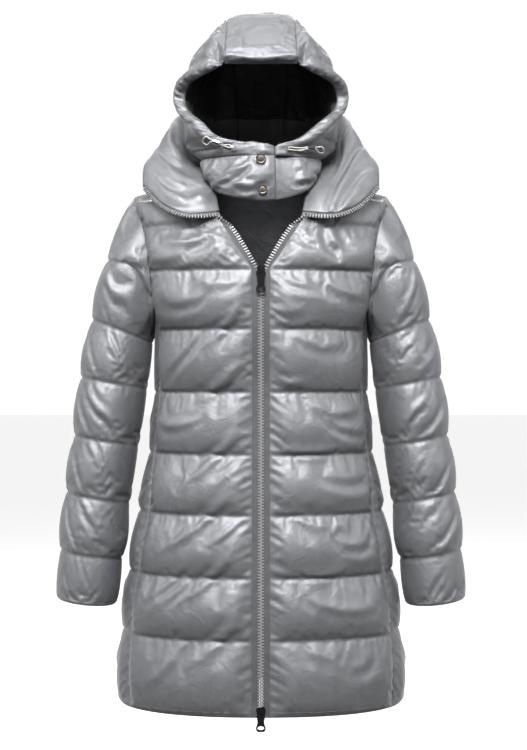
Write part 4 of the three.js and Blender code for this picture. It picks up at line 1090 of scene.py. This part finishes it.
def cordRoute(place, tree):
    slot, toggleAt = Vector(place["exit"]), Vector(place["toggle"])
    along = toggleAt - slot
    span = along.length
    along.normalize()
    aside = Vector((-along.y, along.x))
    toggle, loop = hoodCords["toggle"], hoodCords["loop"]
    over, free = hoodCords["overRim"], hoodCords["free"]

    def above(distance, off, height):
        flat = slot + along * distance + aside * off
        return liftedFrom(tree, flat.x, flat.y, height)

    clear = hoodCords["wide"] / 2 + hoodCords["gap"]
    ends = (span - toggle["long"] / 2, span + toggle["long"] / 2)
    feet = [above(distance, 0, 0) for distance in ends]
    sideways = Vector((aside.x, 0, aside.y))
    out = (feet[1] - feet[0]).cross(sideways).normalized()
    foot = feet[0].lerp(feet[1], 0.5)
    inside = toggle["deep"] / 2 + hoodCords["gap"] + toggle["lift"]
    rise = out * (inside + bulgeOver(tree, foot, out, toggle["long"] / 2, toggle["wide"] / 2))
    axis = [p + rise for p in feet]
    apart, radius = loop["apart"], loop["radius"]
    turn = ends[1] + loop["beyond"]

    def inToggle(distance, off):
        return axis[0].lerp(axis[1], (distance - ends[0]) / toggle["long"]) + sideways * off

    def strand(side):
        return [
            above(-0.6, side * apart, clear + 0.3),
            above(2.6, side * (apart + 0.2), clear + over),
            above(8, side * (apart + 0.5), clear + free),
            above(mix(8, ends[0], 0.5), side * (apart + 0.5), clear + free + 0.4),
            inToggle(ends[0] - 2.5, side * apart),
            inToggle(ends[0], side * apart),
            inToggle(span, side * apart),
            inToggle(ends[1], side * apart),
            inToggle(ends[1] + 2.5, side * (apart + 0.4)),
            above(turn - 3.5, side * (radius - 0.7), clear + free + 0.8),
            above(turn, side * radius, clear + free),
            above(turn + 0.8 * radius, side * 0.6 * radius, clear + free),
        ]

    return [*strand(1), above(turn + radius, 0, clear + free), *strand(-1)[::-1]]


def evenPath(points, step):
    # places a step apart on the smooth curve through the points
    dense = [through(points, t / 24) for t in range(24 * (len(points) - 1) + 1)]
    total = sum((b - a).length for a, b in zip(dense, dense[1:]))
    count = max(2, round(total / step))
    spacing = total / count
    made, travelled, aim = [], 0.0, 0.0
    for a, b in zip(dense, dense[1:]):
        long = (b - a).length
        while long > 0 and aim <= travelled + long + 1e-6 and len(made) < count:
            made.append(a.lerp(b, (aim - travelled) / long))
            aim += spacing
        travelled += long
    return [*made, dense[-1]], total


def makeTube(name, path, radius, sides):
    rings, uvs = [], []
    normal = None
    travelled = 0.0
    for i, place in enumerate(path):
        way = (path[min(i + 1, len(path) - 1)] - path[max(i - 1, 0)]).normalized()
        normal = way.orthogonal() if normal is None else normal - way * normal.dot(way)
        normal.normalize()
        other = way.cross(normal)
        if i:
            travelled += (place - path[i - 1]).length
        for k in range(sides):
            angle = 2 * math.pi * k / sides
            rings.append((place + (normal * math.cos(angle) + other * math.sin(angle)) * radius) * mm)
            uvs.append((k / sides, travelled * mm))
    faces = []
    for i in range(len(path) - 1):
        for k in range(sides):
            a, b = i * sides + k, i * sides + (k + 1) % sides
            faces.append((a, b, b + sides, a + sides))
    faces.append(tuple(range(sides))[::-1])
    faces.append(tuple((len(path) - 1) * sides + k for k in range(sides)))
    made = newMesh(name, rings, faces)
    layer = made.data.uv_layers.new(name="cloth")
    for loop in made.data.loops:
        layer.data[loop.index].uv = uvs[loop.vertex_index]
    for polygon in made.data.polygons:
        polygon.use_smooth = len(polygon.vertices) == 4
    return made


def braidMaterial():
    material, tree, shader = newMaterial("braided_cord", (0.5, 0.48, 0.45), 0.72, Sheen_Weight=0.3)
    place = tree.nodes.new("ShaderNodeTexCoord")
    scaled = tree.nodes.new("ShaderNodeMapping")
    scaled.inputs["Scale"].default_value = (18.85, 2600, 1)
    tree.links.new(place.outputs["UV"], scaled.inputs["Vector"])
    turned = tree.nodes.new("ShaderNodeMapping")
    turned.inputs["Rotation"].default_value = (0, 0, math.radians(45))
    tree.links.new(scaled.outputs[0], turned.inputs["Vector"])
    woven = groupNode(tree, weave, turned.outputs[0], Threads=1)
    # the braid's colour follows the weave's height and is darker where it sinks: painted shade in the
    # hollows between strands
    color = shadeBetween(tree, woven.outputs["Height"], (0.3, 0.29, 0.27), (0.62, 0.6, 0.56))
    tree.links.new(color, shader.inputs["Base Color"])
    tree.links.new(bump(tree, woven.outputs["Height"], 0.0002), shader.inputs["Normal"])
    return material


finishes["cord"] = braidMaterial()
for place in hoodCords["places"]:
    side = place["name"]
    route = cordRoute(place, treeOf(["hood_" + side, "guard_" + side]))
    path, long = evenPath(route, 0.6)
    tube = makeTube("hood_cord_" + side, path, hoodCords["wide"] / 2, 12)
    tube.data.materials.append(finishes["cord"])
    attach(tube, "jacket")
    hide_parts("cord_" + side)
    [p * mm for p in path]
    print("cord", side, round(long, 1), "mm")
print("cords laid")


# Panels of the body
within = body["quilt"]
bodyLines = list(range(len(within) + 1))


def bodyLength(low, high):
    return abs(rowZ(high, -10) - rowZ(low, -10))


bodyDown = linedStops(bodyLines, cloth["cell"], bodyLength)


def frontPuff(u, v):
    wide = 1.15 * abs(frontPoint(1, v).x - frontPoint(0, v).x)
    return body["puff"] * baffle(bodyLines, v) * fade(u * wide) * fade((1 - u) * wide) * smooth(0, 0.7, v)


def backPuff(u, v):
    half = 1.15 * backPoint(1, v).x
    return body["puff"] * baffle(bodyLines, v) * fade((1 - abs(u)) * half) * smooth(0, 0.7, v)


def sidePuff(u, v):
    wide = 1.1 * (sidePoint(0, v) - sidePoint(1, v)).length
    most = mix(body["sidePuff"], body["puff"] * 0.75, smooth(1.6, 4.5, v))
    return most * baffle(list(range(len(sideLines))), v) * fade(u * wide) * fade((1 - u) * wide)


# Main creases as seen: across and down in millimetres from the panel's inner top corner
frontCreases = {
    "left": [
        (13, 60, 9, 150, 2.4, 5),
        (27, 66, 22, 150, -2.2, 5),
        (44, 88, 36, 152, 2.0, 6),
        (30, 105, 95, 150, 2.6, 7),
        (20, 165, 120, 118, -2.2, 6),
        (60, 205, 150, 178, 2.4, 7),
        (15, 232, 80, 212, -2.0, 5),
        (25, 300, 118, 262, 3.0, 8),
        (12, 282, 60, 252, -1.8, 5),
        (40, 392, 140, 345, 3.2, 8),
        (10, 372, 52, 352, 2.0, 5),
        (70, 408, 150, 388, -2.4, 6),
        (14, 470, 96, 432, 3.0, 8),
        (60, 492, 150, 455, -2.6, 7),
        (20, 560, 128, 520, 2.8, 8),
        (90, 580, 158, 548, -2.4, 6),
        (16, 650, 110, 600, 2.6, 8),
        (50, 668, 160, 640, 2.2, 7),
        (24, 745, 130, 706, 2.6, 9),
        (100, 762, 165, 716, -2.2, 7),
    ],
    "right": [
        (12, 66, 9, 152, 2.4, 5),
        (25, 60, 22, 146, -2.2, 5),
        (42, 80, 38, 150, 2.0, 6),
        (26, 150, 110, 112, 2.6, 7),
        (80, 165, 150, 135, -2.2, 6),
        (14, 226, 92, 186, 2.4, 7),
        (66, 240, 140, 200, -2.4, 6),
        (20, 262, 70, 300, 2.6, 7),
        (60, 268, 140, 318, -2.4, 7),
        (16, 340, 84, 372, 2.8, 8),
        (70, 402, 146, 366, 2.4, 6),
        (18, 436, 112, 486, 2.8, 8),
        (12, 474, 60, 492, -2.0, 5),
        (30, 524, 146, 566, 2.8, 8),
        (14, 566, 70, 584, 2.0, 5),
        (24, 604, 120, 660, 2.6, 8),
        (84, 606, 160, 640, -2.2, 6),
        (18, 700, 96, 752, 2.6, 9),
        (90, 706, 164, 760, 2.0, 8),
    ],
}
backCreases = [
    (60, 150, 170, 118, 2.6, 8),
    (230, 120, 350, 160, 2.8, 8),
    (390, 158, 430, 124, -2.2, 6),
    (90, 236, 200, 196, -2.6, 7),
    (260, 200, 380, 236, 2.6, 8),
    (60, 300, 150, 262, 2.8, 8),
    (190, 268, 300, 312, 3.0, 9),
    (320, 312, 400, 280, -2.4, 7),
    (80, 346, 190, 396, 2.8, 8),
    (240, 398, 360, 350, 2.8, 8),
    (70, 486, 180, 440, 2.6, 8),
    (220, 440, 330, 488, -2.6, 8),
    (120, 530, 260, 572, 3.0, 9),
    (290, 570, 400, 528, 2.6, 8),
    (80, 612, 200, 660, 2.8, 9),
    (260, 664, 390, 616, 2.8, 9),
    (100, 752, 230, 706, 2.6, 9),
    (270, 706, 420, 756, 2.8, 9),
]
for side, sign in (("left", 1), ("right", -1)):
    addPanel(
        "front_" + side, frontPoint, stops(36), bodyDown, bodyLines, frontPuff, (0, -1, 0), sign,
        creases=frontCreases[side], room=8,
    )
addPanel(
    "back", backPoint, stops(88, -1, 1), bodyDown, bodyLines, backPuff, (0, 1, 0),
    creases=backCreases, room=9,
)
sideDown = linedStops(
    list(range(len(sideLines))), cloth["cell"],
    lambda low, high: abs(sideLines[int(high)] - sideLines[int(low)]) if low else 145,
)
sideCreases = [
    (30, 120, 80, 150, 2, 7), (20, 260, 90, 230, 2, 7), (40, 390, 100, 350, 2, 8), (30, 470, 110, 505, 2, 8),
]
for side, sign in (("left", 1), ("right", -1)):
    addPanel(
        "side_" + side, sidePoint, stops(22), sideDown, list(range(len(sideLines))), sidePuff,
        (sign, 0, 0), sign, creases=sideCreases, room=5,
    )
print("body panels laid")

# Sleeves
sleeveLines = list(range(len(sleeve["rows"]) + 1))


def sleevePuff(u, v):
    inner = 0.5 - 0.5 * math.cos(u * 2 * math.pi)
    most = mix(sleeve["puff"], 1.8, smooth(0.55, 0.95, inner) * smooth(6, 4.5, v))
    return most * baffle(sleeveLines, v) * (0.8 if v < 1 else 1) * (0.55 if v > len(sleeveLines) - 2 else 1)


def sleeveLength(low, high):
    return (sleevePoint(0, high) - sleevePoint(0, low)).length


sleeveDown = linedStops(sleeveLines, cloth["cell"], sleeveLength)
sleeveCreases = {
    "left": [
        (20, 60, 90, 110, 2.4, 8), (40, 150, 100, 125, -2, 6), (10, 230, 70, 200, 2.4, 7),
        (50, 250, 110, 225, 2, 6), (14, 318, 84, 290, 2.6, 7), (70, 330, 120, 300, -2, 6),
        (20, 400, 96, 372, 2.4, 7), (8, 480, 80, 452, 2.4, 7), (60, 500, 110, 470, -2, 6),
        (20, 560, 90, 535, 1.6, 6), (200, 120, 270, 160, 2.4, 8), (210, 240, 290, 205, 2.4, 7),
        (190, 330, 270, 372, 2.4, 8), (220, 470, 290, 440, 2.2, 8),
    ],
    "right": [
        (24, 100, 96, 62, 2.4, 8), (50, 126, 110, 158, -2, 6), (12, 202, 80, 236, 2.4, 7),
        (30, 262, 100, 240, 2, 6), (10, 292, 76, 322, 2.6, 7), (66, 296, 118, 330, -2, 6),
        (16, 372, 92, 404, 2.4, 7), (12, 452, 84, 484, 2.4, 7), (56, 466, 112, 502, -2, 6),
        (20, 536, 96, 560, 1.6, 6), (200, 160, 280, 116, 2.4, 8), (210, 205, 286, 246, 2.4, 7),
        (190, 372, 276, 330, 2.4, 8), (220, 440, 290, 478, 2.2, 8),
    ],
}
for side, sign in (("left", 1), ("right", -1)):
    addPanel(
        "sleeve_" + side, sleevePoint, stops(68)[:-1], sleeveDown, sleeveLines, sleevePuff,
        (-sign, 0, 0), sign, ring=True, creases=sleeveCreases[side], room=6,
    )

# Collar, hood and chin guard
def collarPuff(u, v):
    full = 0.3 if v < collar["lines"][1] else 1
    return 1.5 + collar["puff"] * full * baffle(collar["lines"], v) * fade((1 - abs(u)) * 330)


addPanel(
    "collar", collarPoint, stops(128, -1, 1), linedStops(collar["lines"], 5, lambda a, b: 120 * (b - a)),
    collar["lines"], collarPuff, (0, 1, 0.2),
    creases=[
        (30, 10, 60, 110, 2.4, 7), (90, 20, 100, 115, -2.2, 7), (150, 30, 135, 120, 2.6, 8),
        (210, 15, 220, 110, 2.2, 8), (280, 30, 262, 118, 2.6, 8), (350, 12, 360, 112, -2.2, 8),
        (420, 26, 436, 118, 2.6, 8), (480, 14, 468, 110, 2.2, 7), (540, 20, 560, 116, -2.4, 7),
        (600, 16, 590, 108, 2.4, 7),
    ],
    room=6,
)


def stripPuff(u, k):
    most = 3 if k < 1 else hood["puff"]
    return most * baffle(hood["quilt"], k) * fade((1 - abs(u)) * column(hood["strip"], 3, k))


stripDown = linedStops(hood["quilt"], 5, lambda a, b: (stripPoint(0, b) - stripPoint(0, a)).length + 8)
addPanel(
    "hood_center", stripPoint, stops(22, -1, 1), stripDown, hood["quilt"], stripPuff, (0, 0.6, 0.8),
    creases=[
        (20, 60, 70, 90, 2, 6), (30, 170, 80, 140, 2, 7), (20, 250, 70, 280, 2, 7), (30, 380, 76, 350, 2, 7),
    ],
    room=5,
)


def hoodPanel(side, sign):
    lap = hood["laps"][side]
    start = lap / chinStep
    last = len(hood["ribs"]) - 1
    lines = [0, *(rowMeeting(k) for k in hood["quilt"] if k > hood["ribs"][0][4])]
    lengths = {}

    def long(v):
        if v not in lengths:
            places = [hoodPoint(mix(start, stripSide, i / 4), v, lap) for i in range(5)]
            lengths[v] = sum((b - a).length for a, b in zip(places, places[1:]))
        return lengths[v]

    def puff(u, v):
        wide = long(v)
        away = (u - start) / (stripSide - start) * wide
        channel = min(hood["channel"], 0.3 * wide)
        ends = fade(35 * v) * fade(35 * (last - v))
        if away < channel:
            return 3.5 * fullness(away / channel) * ends
        quilting = mix(0.35, 1, baffle(lines, v))
        return hood["puff"] * fade(away - channel) * fade(wide - away) * ends * quilting

    down = linedStops(lines, 5, lambda a, b: (hoodPoint(2, b, lap) - hoodPoint(2, a, lap)).length + 4)
    addPanel(
        "hood_" + side, lambda u, v: hoodPoint(u, v, lap), stops(46, start, stripSide), down, lines, puff,
        (sign, 0, 0), sign, room=5, gathers=[(20, 1.3, 5.5)],
        creases=[(40, 60, 120, 90, 2, 7), (60, 150, 150, 130, 2, 7), (50, 210, 140, 230, 2, 7)],
    )


guardCreases = {
    "left": [
        (20, 14, 80, 8, 1.8, 4), (26, 22, 90, 30, 2.2, 5), (30, 40, 84, 26, 2, 4), (50, 50, 110, 34, 2, 5),
        (70, 10, 120, 24, -1.8, 4),
    ],
    "right": [
        (30, 10, 95, 22, 2, 4), (34, 16, 80, 44, -1.8, 4), (60, 20, 118, 48, 2.2, 5), (26, 44, 70, 34, 2, 4),
        (24, 56, 60, 58, 1.6, 3.5), (90, 12, 130, 30, 2, 5),
    ],
}


def guardPanel(side, sign):
    lap, sink = guard["laps"][side], guard["sink"][side]
    start = lap / chinStep

    def point(u, v):
        return guardPoint(u, v, lap, sink)

    def puff(u, v):
        p = mirrored(point(u, v), sign)
        pressed = smooth(0.4, 0.8, u) if sink else 1
        for snap in snaps:
            pressed *= smooth(0.3, 1, math.hypot(p.x - snap["x"], p.z - snap["z"]) / 15)
        return guard["puff"] * fullness(v) * pressed * fade((u - start) * 78) * fade((2 - u) * 60)

    addPanel(
        "guard_" + side, point, stops(44, start, 2), stops(20), [0, 1], puff, (0, -1, 0), sign,
        creases=guardCreases[side], room=4,
    )


for side, sign in (("left", 1), ("right", -1)):
    hoodPanel(side, sign)
    guardPanel(side, sign)
print("sleeves, collar and hood laid")

for name, panel in quilted.items():
    panel["thick"] = 3 * mm
    panel["innerPuff"] = np.zeros(panel["puff"].shape)
    if name == "collar":  # its own wall is padded to both sides
        low = np.array([0.1 if v < collar["lines"][1] else 1 for v in panel["down"]])
        full = np.array([baffle(collar["lines"], v) for v in panel["down"]])
        wide = np.array([fade((1 - abs(u)) * 330) for u in panel["across"]])
        panel["thick"] = 1.5 * mm
        panel["innerPuff"] = collar["innerPuff"] * mm * np.outer(low * full, wide)
clothPass(quilted)
print("cloth swollen between its stitches")


# Which material the inner face of a panel has: 0 shell, 1 lining
def innerOf(name):
    def kind(panel, rows, cols):
        down = rows - 1
        across = cols if panel["ring"] else cols - 1
        kinds = np.ones((down, across), int)
        flat = panel["flat"]
        if name.startswith("front"):
            kinds[:, flat[0, :-1, 0] < 42] = 0
        if name.startswith(("front", "back", "side")):
            low = flat[:-1, 0, 1].max() - flat[:-1, 0, 1] < 28
            kinds[low] = 0
        if name.startswith("sleeve"):
            low = flat[:-1, 0, 1].max() - flat[:-1, 0, 1] < 30
            kinds[low] = 0
        if name in ("collar", "guard_left", "guard_right"):
            kinds[:] = 0
        if name.startswith("hood"):
            low = panel["grid"][:-1, :across, 2] < hood["bandTop"] * mm
            kinds[low] = 0
        if name in ("hood_left", "hood_right"):
            kinds[:, flat[rows // 2, :-1, 0] < 26] = 0
        if name == "hood_center":
            kinds[: max(2, rows // 12)] = 0
        return kinds

    return kind


for name in quilted:
    finishWall(name, [finishes["shell"], finishes["lining"]], innerOf(name))
print("cloth panels closed")

# Zip: two woven tapes with their moulded teeth, parted above the upper slider and at the foot
zipper = {
    "chain": [
        (-783, 3.4), (-779, 2.3), (-775, 0.5), (-771, 0.15), (-159, 0.15), (-154.5, 0.8), (-150, 3.1),
        (-145, 6), (-138, 9.8), (-127, 16), (-102, 31), (-85, 42.5),
    ],
    "pitch": 4.3,
    "tooth": (6.0, 2.1, 3.8),
    "beyond": 1.5,
    "collarTape": 8,
    "tapeThick": 0.9,
    "setBack": 1.9,
}


def onFront(x, z):
    turn = turnOf(x, z)
    return Vector((x, torsoY(turn, x, z, False), z))


def zipLines():
    # the inner edge of the chain and the edge of the tape at the cloth, from the hem upwards
    chain, edge = [], []
    for z in sorted([*stops(150, -782, -163), -160, -157, -154.5, -152, -150, -147.5, -145, -142]):
        chain.append(onFront(column(zipper["chain"], 1, z), z))
        edge.append(onFront(column(body["frontEdge"], 1, z), z))
    for v in stops(18, 1.99, 1.0):
        seam = frontPoint(0, v)
        if seam.z > -141:
            chain.append(onFront(column(zipper["chain"], 1, seam.z), seam.z))
            edge.append(seam)
    for v in stops(26, 0.0, 1.0):
        seam = collarPoint(1, v)
        away = (seam - collarPoint(0.98, v)).normalized()
        if v > 0.06:
            chain.append(seam + away * zipper["collarTape"])
            edge.append(seam)
    return chain, edge


def makeTape(side, sign):
    chain, edge = zipLines()
    rows = []
    for a, b in zip(chain, edge):
        inner = a + (b - a).normalized() * zipper["setBack"]
        rows.append([tuple(mirrored(inner.lerp(b, t), sign) * mm) for t in (0, 0.12, 0.3, 0.55, 0.8, 1.1)])
    grid = np.array(rows)
    normals = gridNormals(grid, False, (0, -1, 0))
    half = zipper["tapeThick"] / 2 * mm
    front, back = grid + normals * half, grid - normals * half
    count = grid.shape[0] * grid.shape[1]
    points = np.concatenate([front.reshape(-1, 3), back.reshape(-1, 3)])
    faces = [tuple(f) for f in gridFaces(*grid.shape[:2], False)]
    faces += [tuple(f[::-1]) for f in gridFaces(*grid.shape[:2], False, count)]
    index = np.arange(count).reshape(grid.shape[:2])
    loop = [*index[0], *index[1:, -1], *index[-1, -2::-1], *index[-2:0:-1, 0]]
    for a, b in zip(loop, loop[1:] + loop[:1]):
        faces.append((b, a, a + count, b + count))
    made = newMesh("tape_" + side, points, faces)
    made.data.materials.append(finishes["tape"])
    flat = flatPlaces(grid, False).reshape(-1, 2) * mm
    uv = np.concatenate([flat, flat])
    loops = np.zeros(len(made.data.loops), int)
    made.data.loops.foreach_get("vertex_index", loops)
    made.data.uv_layers.new(name="cloth").data.foreach_set("uv", uv[loops].ravel())
    work = bmesh.new()
    work.from_mesh(made.data)
    bmesh.ops.recalc_face_normals(work, faces=work.faces)
    work.to_mesh(made.data)
    work.free()
    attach(made, "jacket")
    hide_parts("zip_" + side)
    return [mirrored(p, sign) for p in chain], [mirrored(p, sign) for p in edge]


def alongLine(points, spacing, start=0.0):
    # evenly spaced places on a line of points: the place, its way along, and its share of the list
    made = []
    travelled, aim = 0.0, start
    for i in range(len(points) - 1):
        step = points[i + 1] - points[i]
        long = step.length
        while travelled + long >= aim and long > 1e-9:
            share = (aim - travelled) / long
            made.append((points[i] + step * share, step / long, i + share))
            aim += spacing
        travelled += long
    return made


def copyAll(name, base, placements, material, replace=()):
    # one mesh of many copies of a small base shape, each with its own three axes
    count = len(base.data.vertices)
    co = np.zeros(count * 3)
    base.data.vertices.foreach_get("co", co)
    co = co.reshape(-1, 3)
    faces = [tuple(p.vertices) for p in base.data.polygons]
    points, all = [], []
    for i, (place, right, up, out) in enumerate(placements):
        axes = np.array([tuple(right), tuple(up), tuple(out)])
        points.append(co @ axes + np.array(tuple(place)))
        all += [tuple(i * count + k for k in face) for face in faces]
    made = newMesh(name, np.concatenate(points), all)
    made.data.materials.append(material)
    work = bmesh.new()
    work.from_mesh(made.data)
    bmesh.ops.recalc_face_normals(work, faces=work.faces)
    work.to_mesh(made.data)
    work.free()
    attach(made, "jacket")
    if replace:
        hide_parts(*replace)
    return made


def removeBase(base):
    mesh = base.data
    bpy.data.objects.remove(base)
    bpy.data.meshes.remove(mesh)


def edgeBevel(made, width, segments=1):
    bpy.ops.object.select_all(action="DESELECT")
    made.select_set(True)
    bpy.context.view_layer.objects.active = made
    bevel = made.modifiers.new("bevel", "BEVEL")
    bevel.width = width
    bevel.segments = segments
    bpy.ops.object.modifier_apply(modifier="bevel")


def makeTeeth(side, chain, edge, offset):
    long, wide, thick = (value * mm for value in zipper["tooth"])
    bpy.ops.mesh.primitive_cube_add(size=1, location=(0, 0, 0))
    tooth = bpy.context.object
    tooth.scale = (long, wide, thick)
    bpy.ops.object.transform_apply(location=False, rotation=False, scale=True)
    bpy.ops.object.mode_set(mode="EDIT")
    work = bmesh.from_edit_mesh(tooth.data)
    for vertex in work.verts:  # the head, at +X, is a little narrower in thickness
        if vertex.co.x > 0:
            vertex.co.z *= 0.72
    bmesh.update_edit_mesh(tooth.data)
    bpy.ops.object.mode_set(mode="OBJECT")
    edgeBevel(tooth, 0.3 * mm)
    places = []
    for place, along, share in alongLine(chain, zipper["pitch"], offset):
        i = min(int(share), len(chain) - 2)
        seam = edge[i].lerp(edge[i + 1], share - i)
        inward = (place - seam)
        inward = (inward - along * inward.dot(along)).normalized()
        out = inward.cross(along).normalized()
        centre = (place - inward * (zipper["tooth"][0] / 2 - zipper["beyond"])) * mm
        places.append((centre, inward, along, out))
    made = copyAll("teeth_" + side, tooth, places, finishes["teeth"])
    removeBase(tooth)
    return made


for side, sign in (("left", 1), ("right", -1)):
    chain, edge = makeTape(side, sign)
    makeTeeth(side, chain, edge, 0.8 if sign > 0 else 0.8 + zipper["pitch"] / 2)
print("zip made")


# Sewing: short stitches laid on the cloth along its lines
sewing = {"pitch": 3.3, "long": 2.5, "radius": 0.32, "sink": 0.05}


def stitchBase():
    bpy.ops.mesh.primitive_cylinder_add(vertices=5, radius=sewing["radius"] * mm, depth=sewing["long"] * mm)
    base = bpy.context.object
    bpy.ops.object.mode_set(mode="EDIT")
    work = bmesh.from_edit_mesh(base.data)
    work.faces.ensure_lookup_table()
    for end in [f for f in work.faces if len(f.verts) == 5]:
        bmesh.ops.poke(work, faces=[end], offset=0.3 * sewing["radius"] * mm)
    for vertex in work.verts:  # the stitch bends down into the cloth at both ends
        vertex.co.y -= (abs(vertex.co.z) / (0.5 * sewing["long"] * mm)) ** 2 * 0.4 * mm
    bmesh.update_edit_mesh(base.data)
    bpy.ops.object.mode_set(mode="OBJECT")
    return base


def rowLine(panel, row):
    # places and normals along a row of the finished cloth
    count = panel["outer"].shape[1]
    places = [Vector(panel["outer"][row, i]) / mm for i in range(count)]
    normals = [Vector(panel["outNormals"][row, i]) for i in range(count)]
    if panel["ring"]:
        places.append(places[0])
        normals.append(normals[0])
    return places, normals


def columnLine(panel, at, low=0.0, high=1.0):
    count = panel["outer"].shape[0]
    first, last = round(low * (count - 1)), round(high * (count - 1))
    places = [Vector(panel["outer"][i, at]) / mm for i in range(first, last + 1)]
    normals = [Vector(panel["outNormals"][i, at]) for i in range(first, last + 1)]
    return places, normals


def stitchLine(line, placements, lift=0.1):
    places, normals = line
    for place, along, share in alongLine(places, sewing["pitch"], 1.2):
        i = min(int(share), len(normals) - 2)
        out = normals[i].lerp(normals[i + 1], share - i)
        out = (out - along * out.dot(along)).normalized()
        right = out.cross(along)
        raised = place + out * (sewing["radius"] - sewing["sink"] + lift)
        placements.append((raised * mm, right, out, along))


def columnNear(panel, distance, fromEnd=False):
    # the column of the finished grid nearest to a distance from one edge, at the middle row
    flat = finer(panel["flat"], False)[panel["outer"].shape[0] // 2, :, 0]
    aim = flat[-1] - distance if fromEnd else distance
    return int(np.argmin(np.abs(flat - aim)))


def rowNear(panel, distance, fromEnd=True):
    flat = finer(panel["flat"], False)[:, panel["outer"].shape[1] // 2, 1]
    aim = flat[-1] - distance if fromEnd else distance
    return int(np.argmin(np.abs(flat - aim)))


base = stitchBase()
for name, panel in quilted.items():
    placements = []
    inner = [k for k in range(1, panel["sewn"].shape[0] - 1) if panel["sewn"][k].all()]
    for k in inner:
        stitchLine(rowLine(panel, 2 * k), placements)
    if name.startswith("front"):
        stitchLine(columnLine(panel, columnNear(panel, 6), 0.02, 1), placements)
        stitchLine(columnLine(panel, columnNear(panel, 3, True), 0.26, 1), placements)
    if name.startswith(("front", "back", "side")):
        stitchLine(rowLine(panel, rowNear(panel, 8)), placements)
    if name.startswith("side"):
        stitchLine(columnLine(panel, columnNear(panel, 3)), placements)
        stitchLine(columnLine(panel, columnNear(panel, 3, True)), placements)
    if name.startswith("sleeve"):
        stitchLine(rowLine(panel, rowNear(panel, 8)), placements)
        # the seam that runs down the front of the sleeve
        count = panel["outer"].shape[1]
        stitchLine(columnLine(panel, round(count * 0.24)), placements)
    if name in ("hood_left", "hood_right"):
        stitchLine(columnLine(panel, columnNear(panel, hood["channel"])), placements)
        stitchLine(columnLine(panel, columnNear(panel, 2.5, True)), placements)
    if name == "hood_center":
        stitchLine(columnLine(panel, columnNear(panel, 2.5), 0.08, 1), placements)
        stitchLine(columnLine(panel, columnNear(panel, 2.5, True), 0.08, 1), placements)
    if name.startswith("guard"):
        stitchLine(columnLine(panel, columnNear(panel, 4)), placements)
        stitchLine(rowLine(panel, rowNear(panel, 4)), placements)
        stitchLine(rowLine(panel, rowNear(panel, 3, False)), placements)
    if name == "collar":
        stitchLine(rowLine(panel, rowNear(panel, 5)), placements)
    copyAll("stitches_" + name, base, placements, finishes["thread"])
removeBase(base)
print("sewn")


# Snap caps: a rolled rim round a dished, slightly domed face
def makeSnap(snap):
    node = nodes[snap["node"]]
    mesh = node.data
    middle = sum((v.co for v in mesh.vertices), Vector()) / len(mesh.vertices)
    facing = Vector()
    for polygon in mesh.polygons:
        if polygon.normal.y < -0.5:
            facing += polygon.normal * polygon.area
    facing.normalize()
    front = max((v.co - middle).dot(facing) for v in mesh.vertices)
    radius, deep = snap["radius"] * mm, 2.2 * mm
    bpy.ops.mesh.primitive_cylinder_add(vertices=48, radius=radius, depth=deep)
    cap = bpy.context.object
    cap.name = "cap_" + snap["node"]
    bpy.ops.object.mode_set(mode="EDIT")
    bpy.ops.mesh.select_mode(type="FACE")
    steps = [(0.09, 0.0), (0.1, -0.35), (0.06, -0.3), (0.2, 0.25), (0.22, 0.16), (0.18, 0.06)]
    for inset, lift in steps:
        bpy.ops.mesh.select_all(action="DESELECT")
        work = bmesh.from_edit_mesh(cap.data)
        faceUp = [f for f in work.faces if f.normal.z > 0.9 and len(f.verts) > 8]
        max(faceUp, key=lambda f: f.calc_center_median().z).select = True
        bmesh.update_edit_mesh(cap.data)
        bpy.ops.mesh.inset(thickness=inset * radius, depth=lift * mm)
    bpy.ops.object.mode_set(mode="OBJECT")
    edgeBevel(cap, 0.28 * mm, 2)
    for polygon in cap.data.polygons:
        polygon.use_smooth = True
    turn = facing.to_track_quat("Z", "Y").to_matrix().to_4x4()
    turn.translation = middle + facing * (front - deep / 2)
    cap.data.transform(turn)
    cap.data.materials.append(finishes["snap"])
    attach(cap, "jacket")
    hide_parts(snap["node"])


for snap in snaps:
    makeSnap(snap)
print("snaps made")

# Finishes of the solids that show as they are
shown = {
    "slider_top": "slider",
    "slider_bottom": "slider",
    "pull_top": "slider",
    "pull_bottom": "slider",
    "toggle_left": "toggle",
    "toggle_right": "toggle",
    "buttonhole_left": "thread",
    "buttonhole_right": "thread",
}
for name, finish in shown.items():
    mesh = nodes[name].data
    mesh.materials.clear()
    mesh.materials.append(finishes[finish])
    soft = nodes[name].modifiers.new("soft_edges", "BEVEL")
    soft.width = 0.3 * mm if finish != "thread" else 0.08 * mm
    soft.segments = 2
    soft.limit_method = "ANGLE"
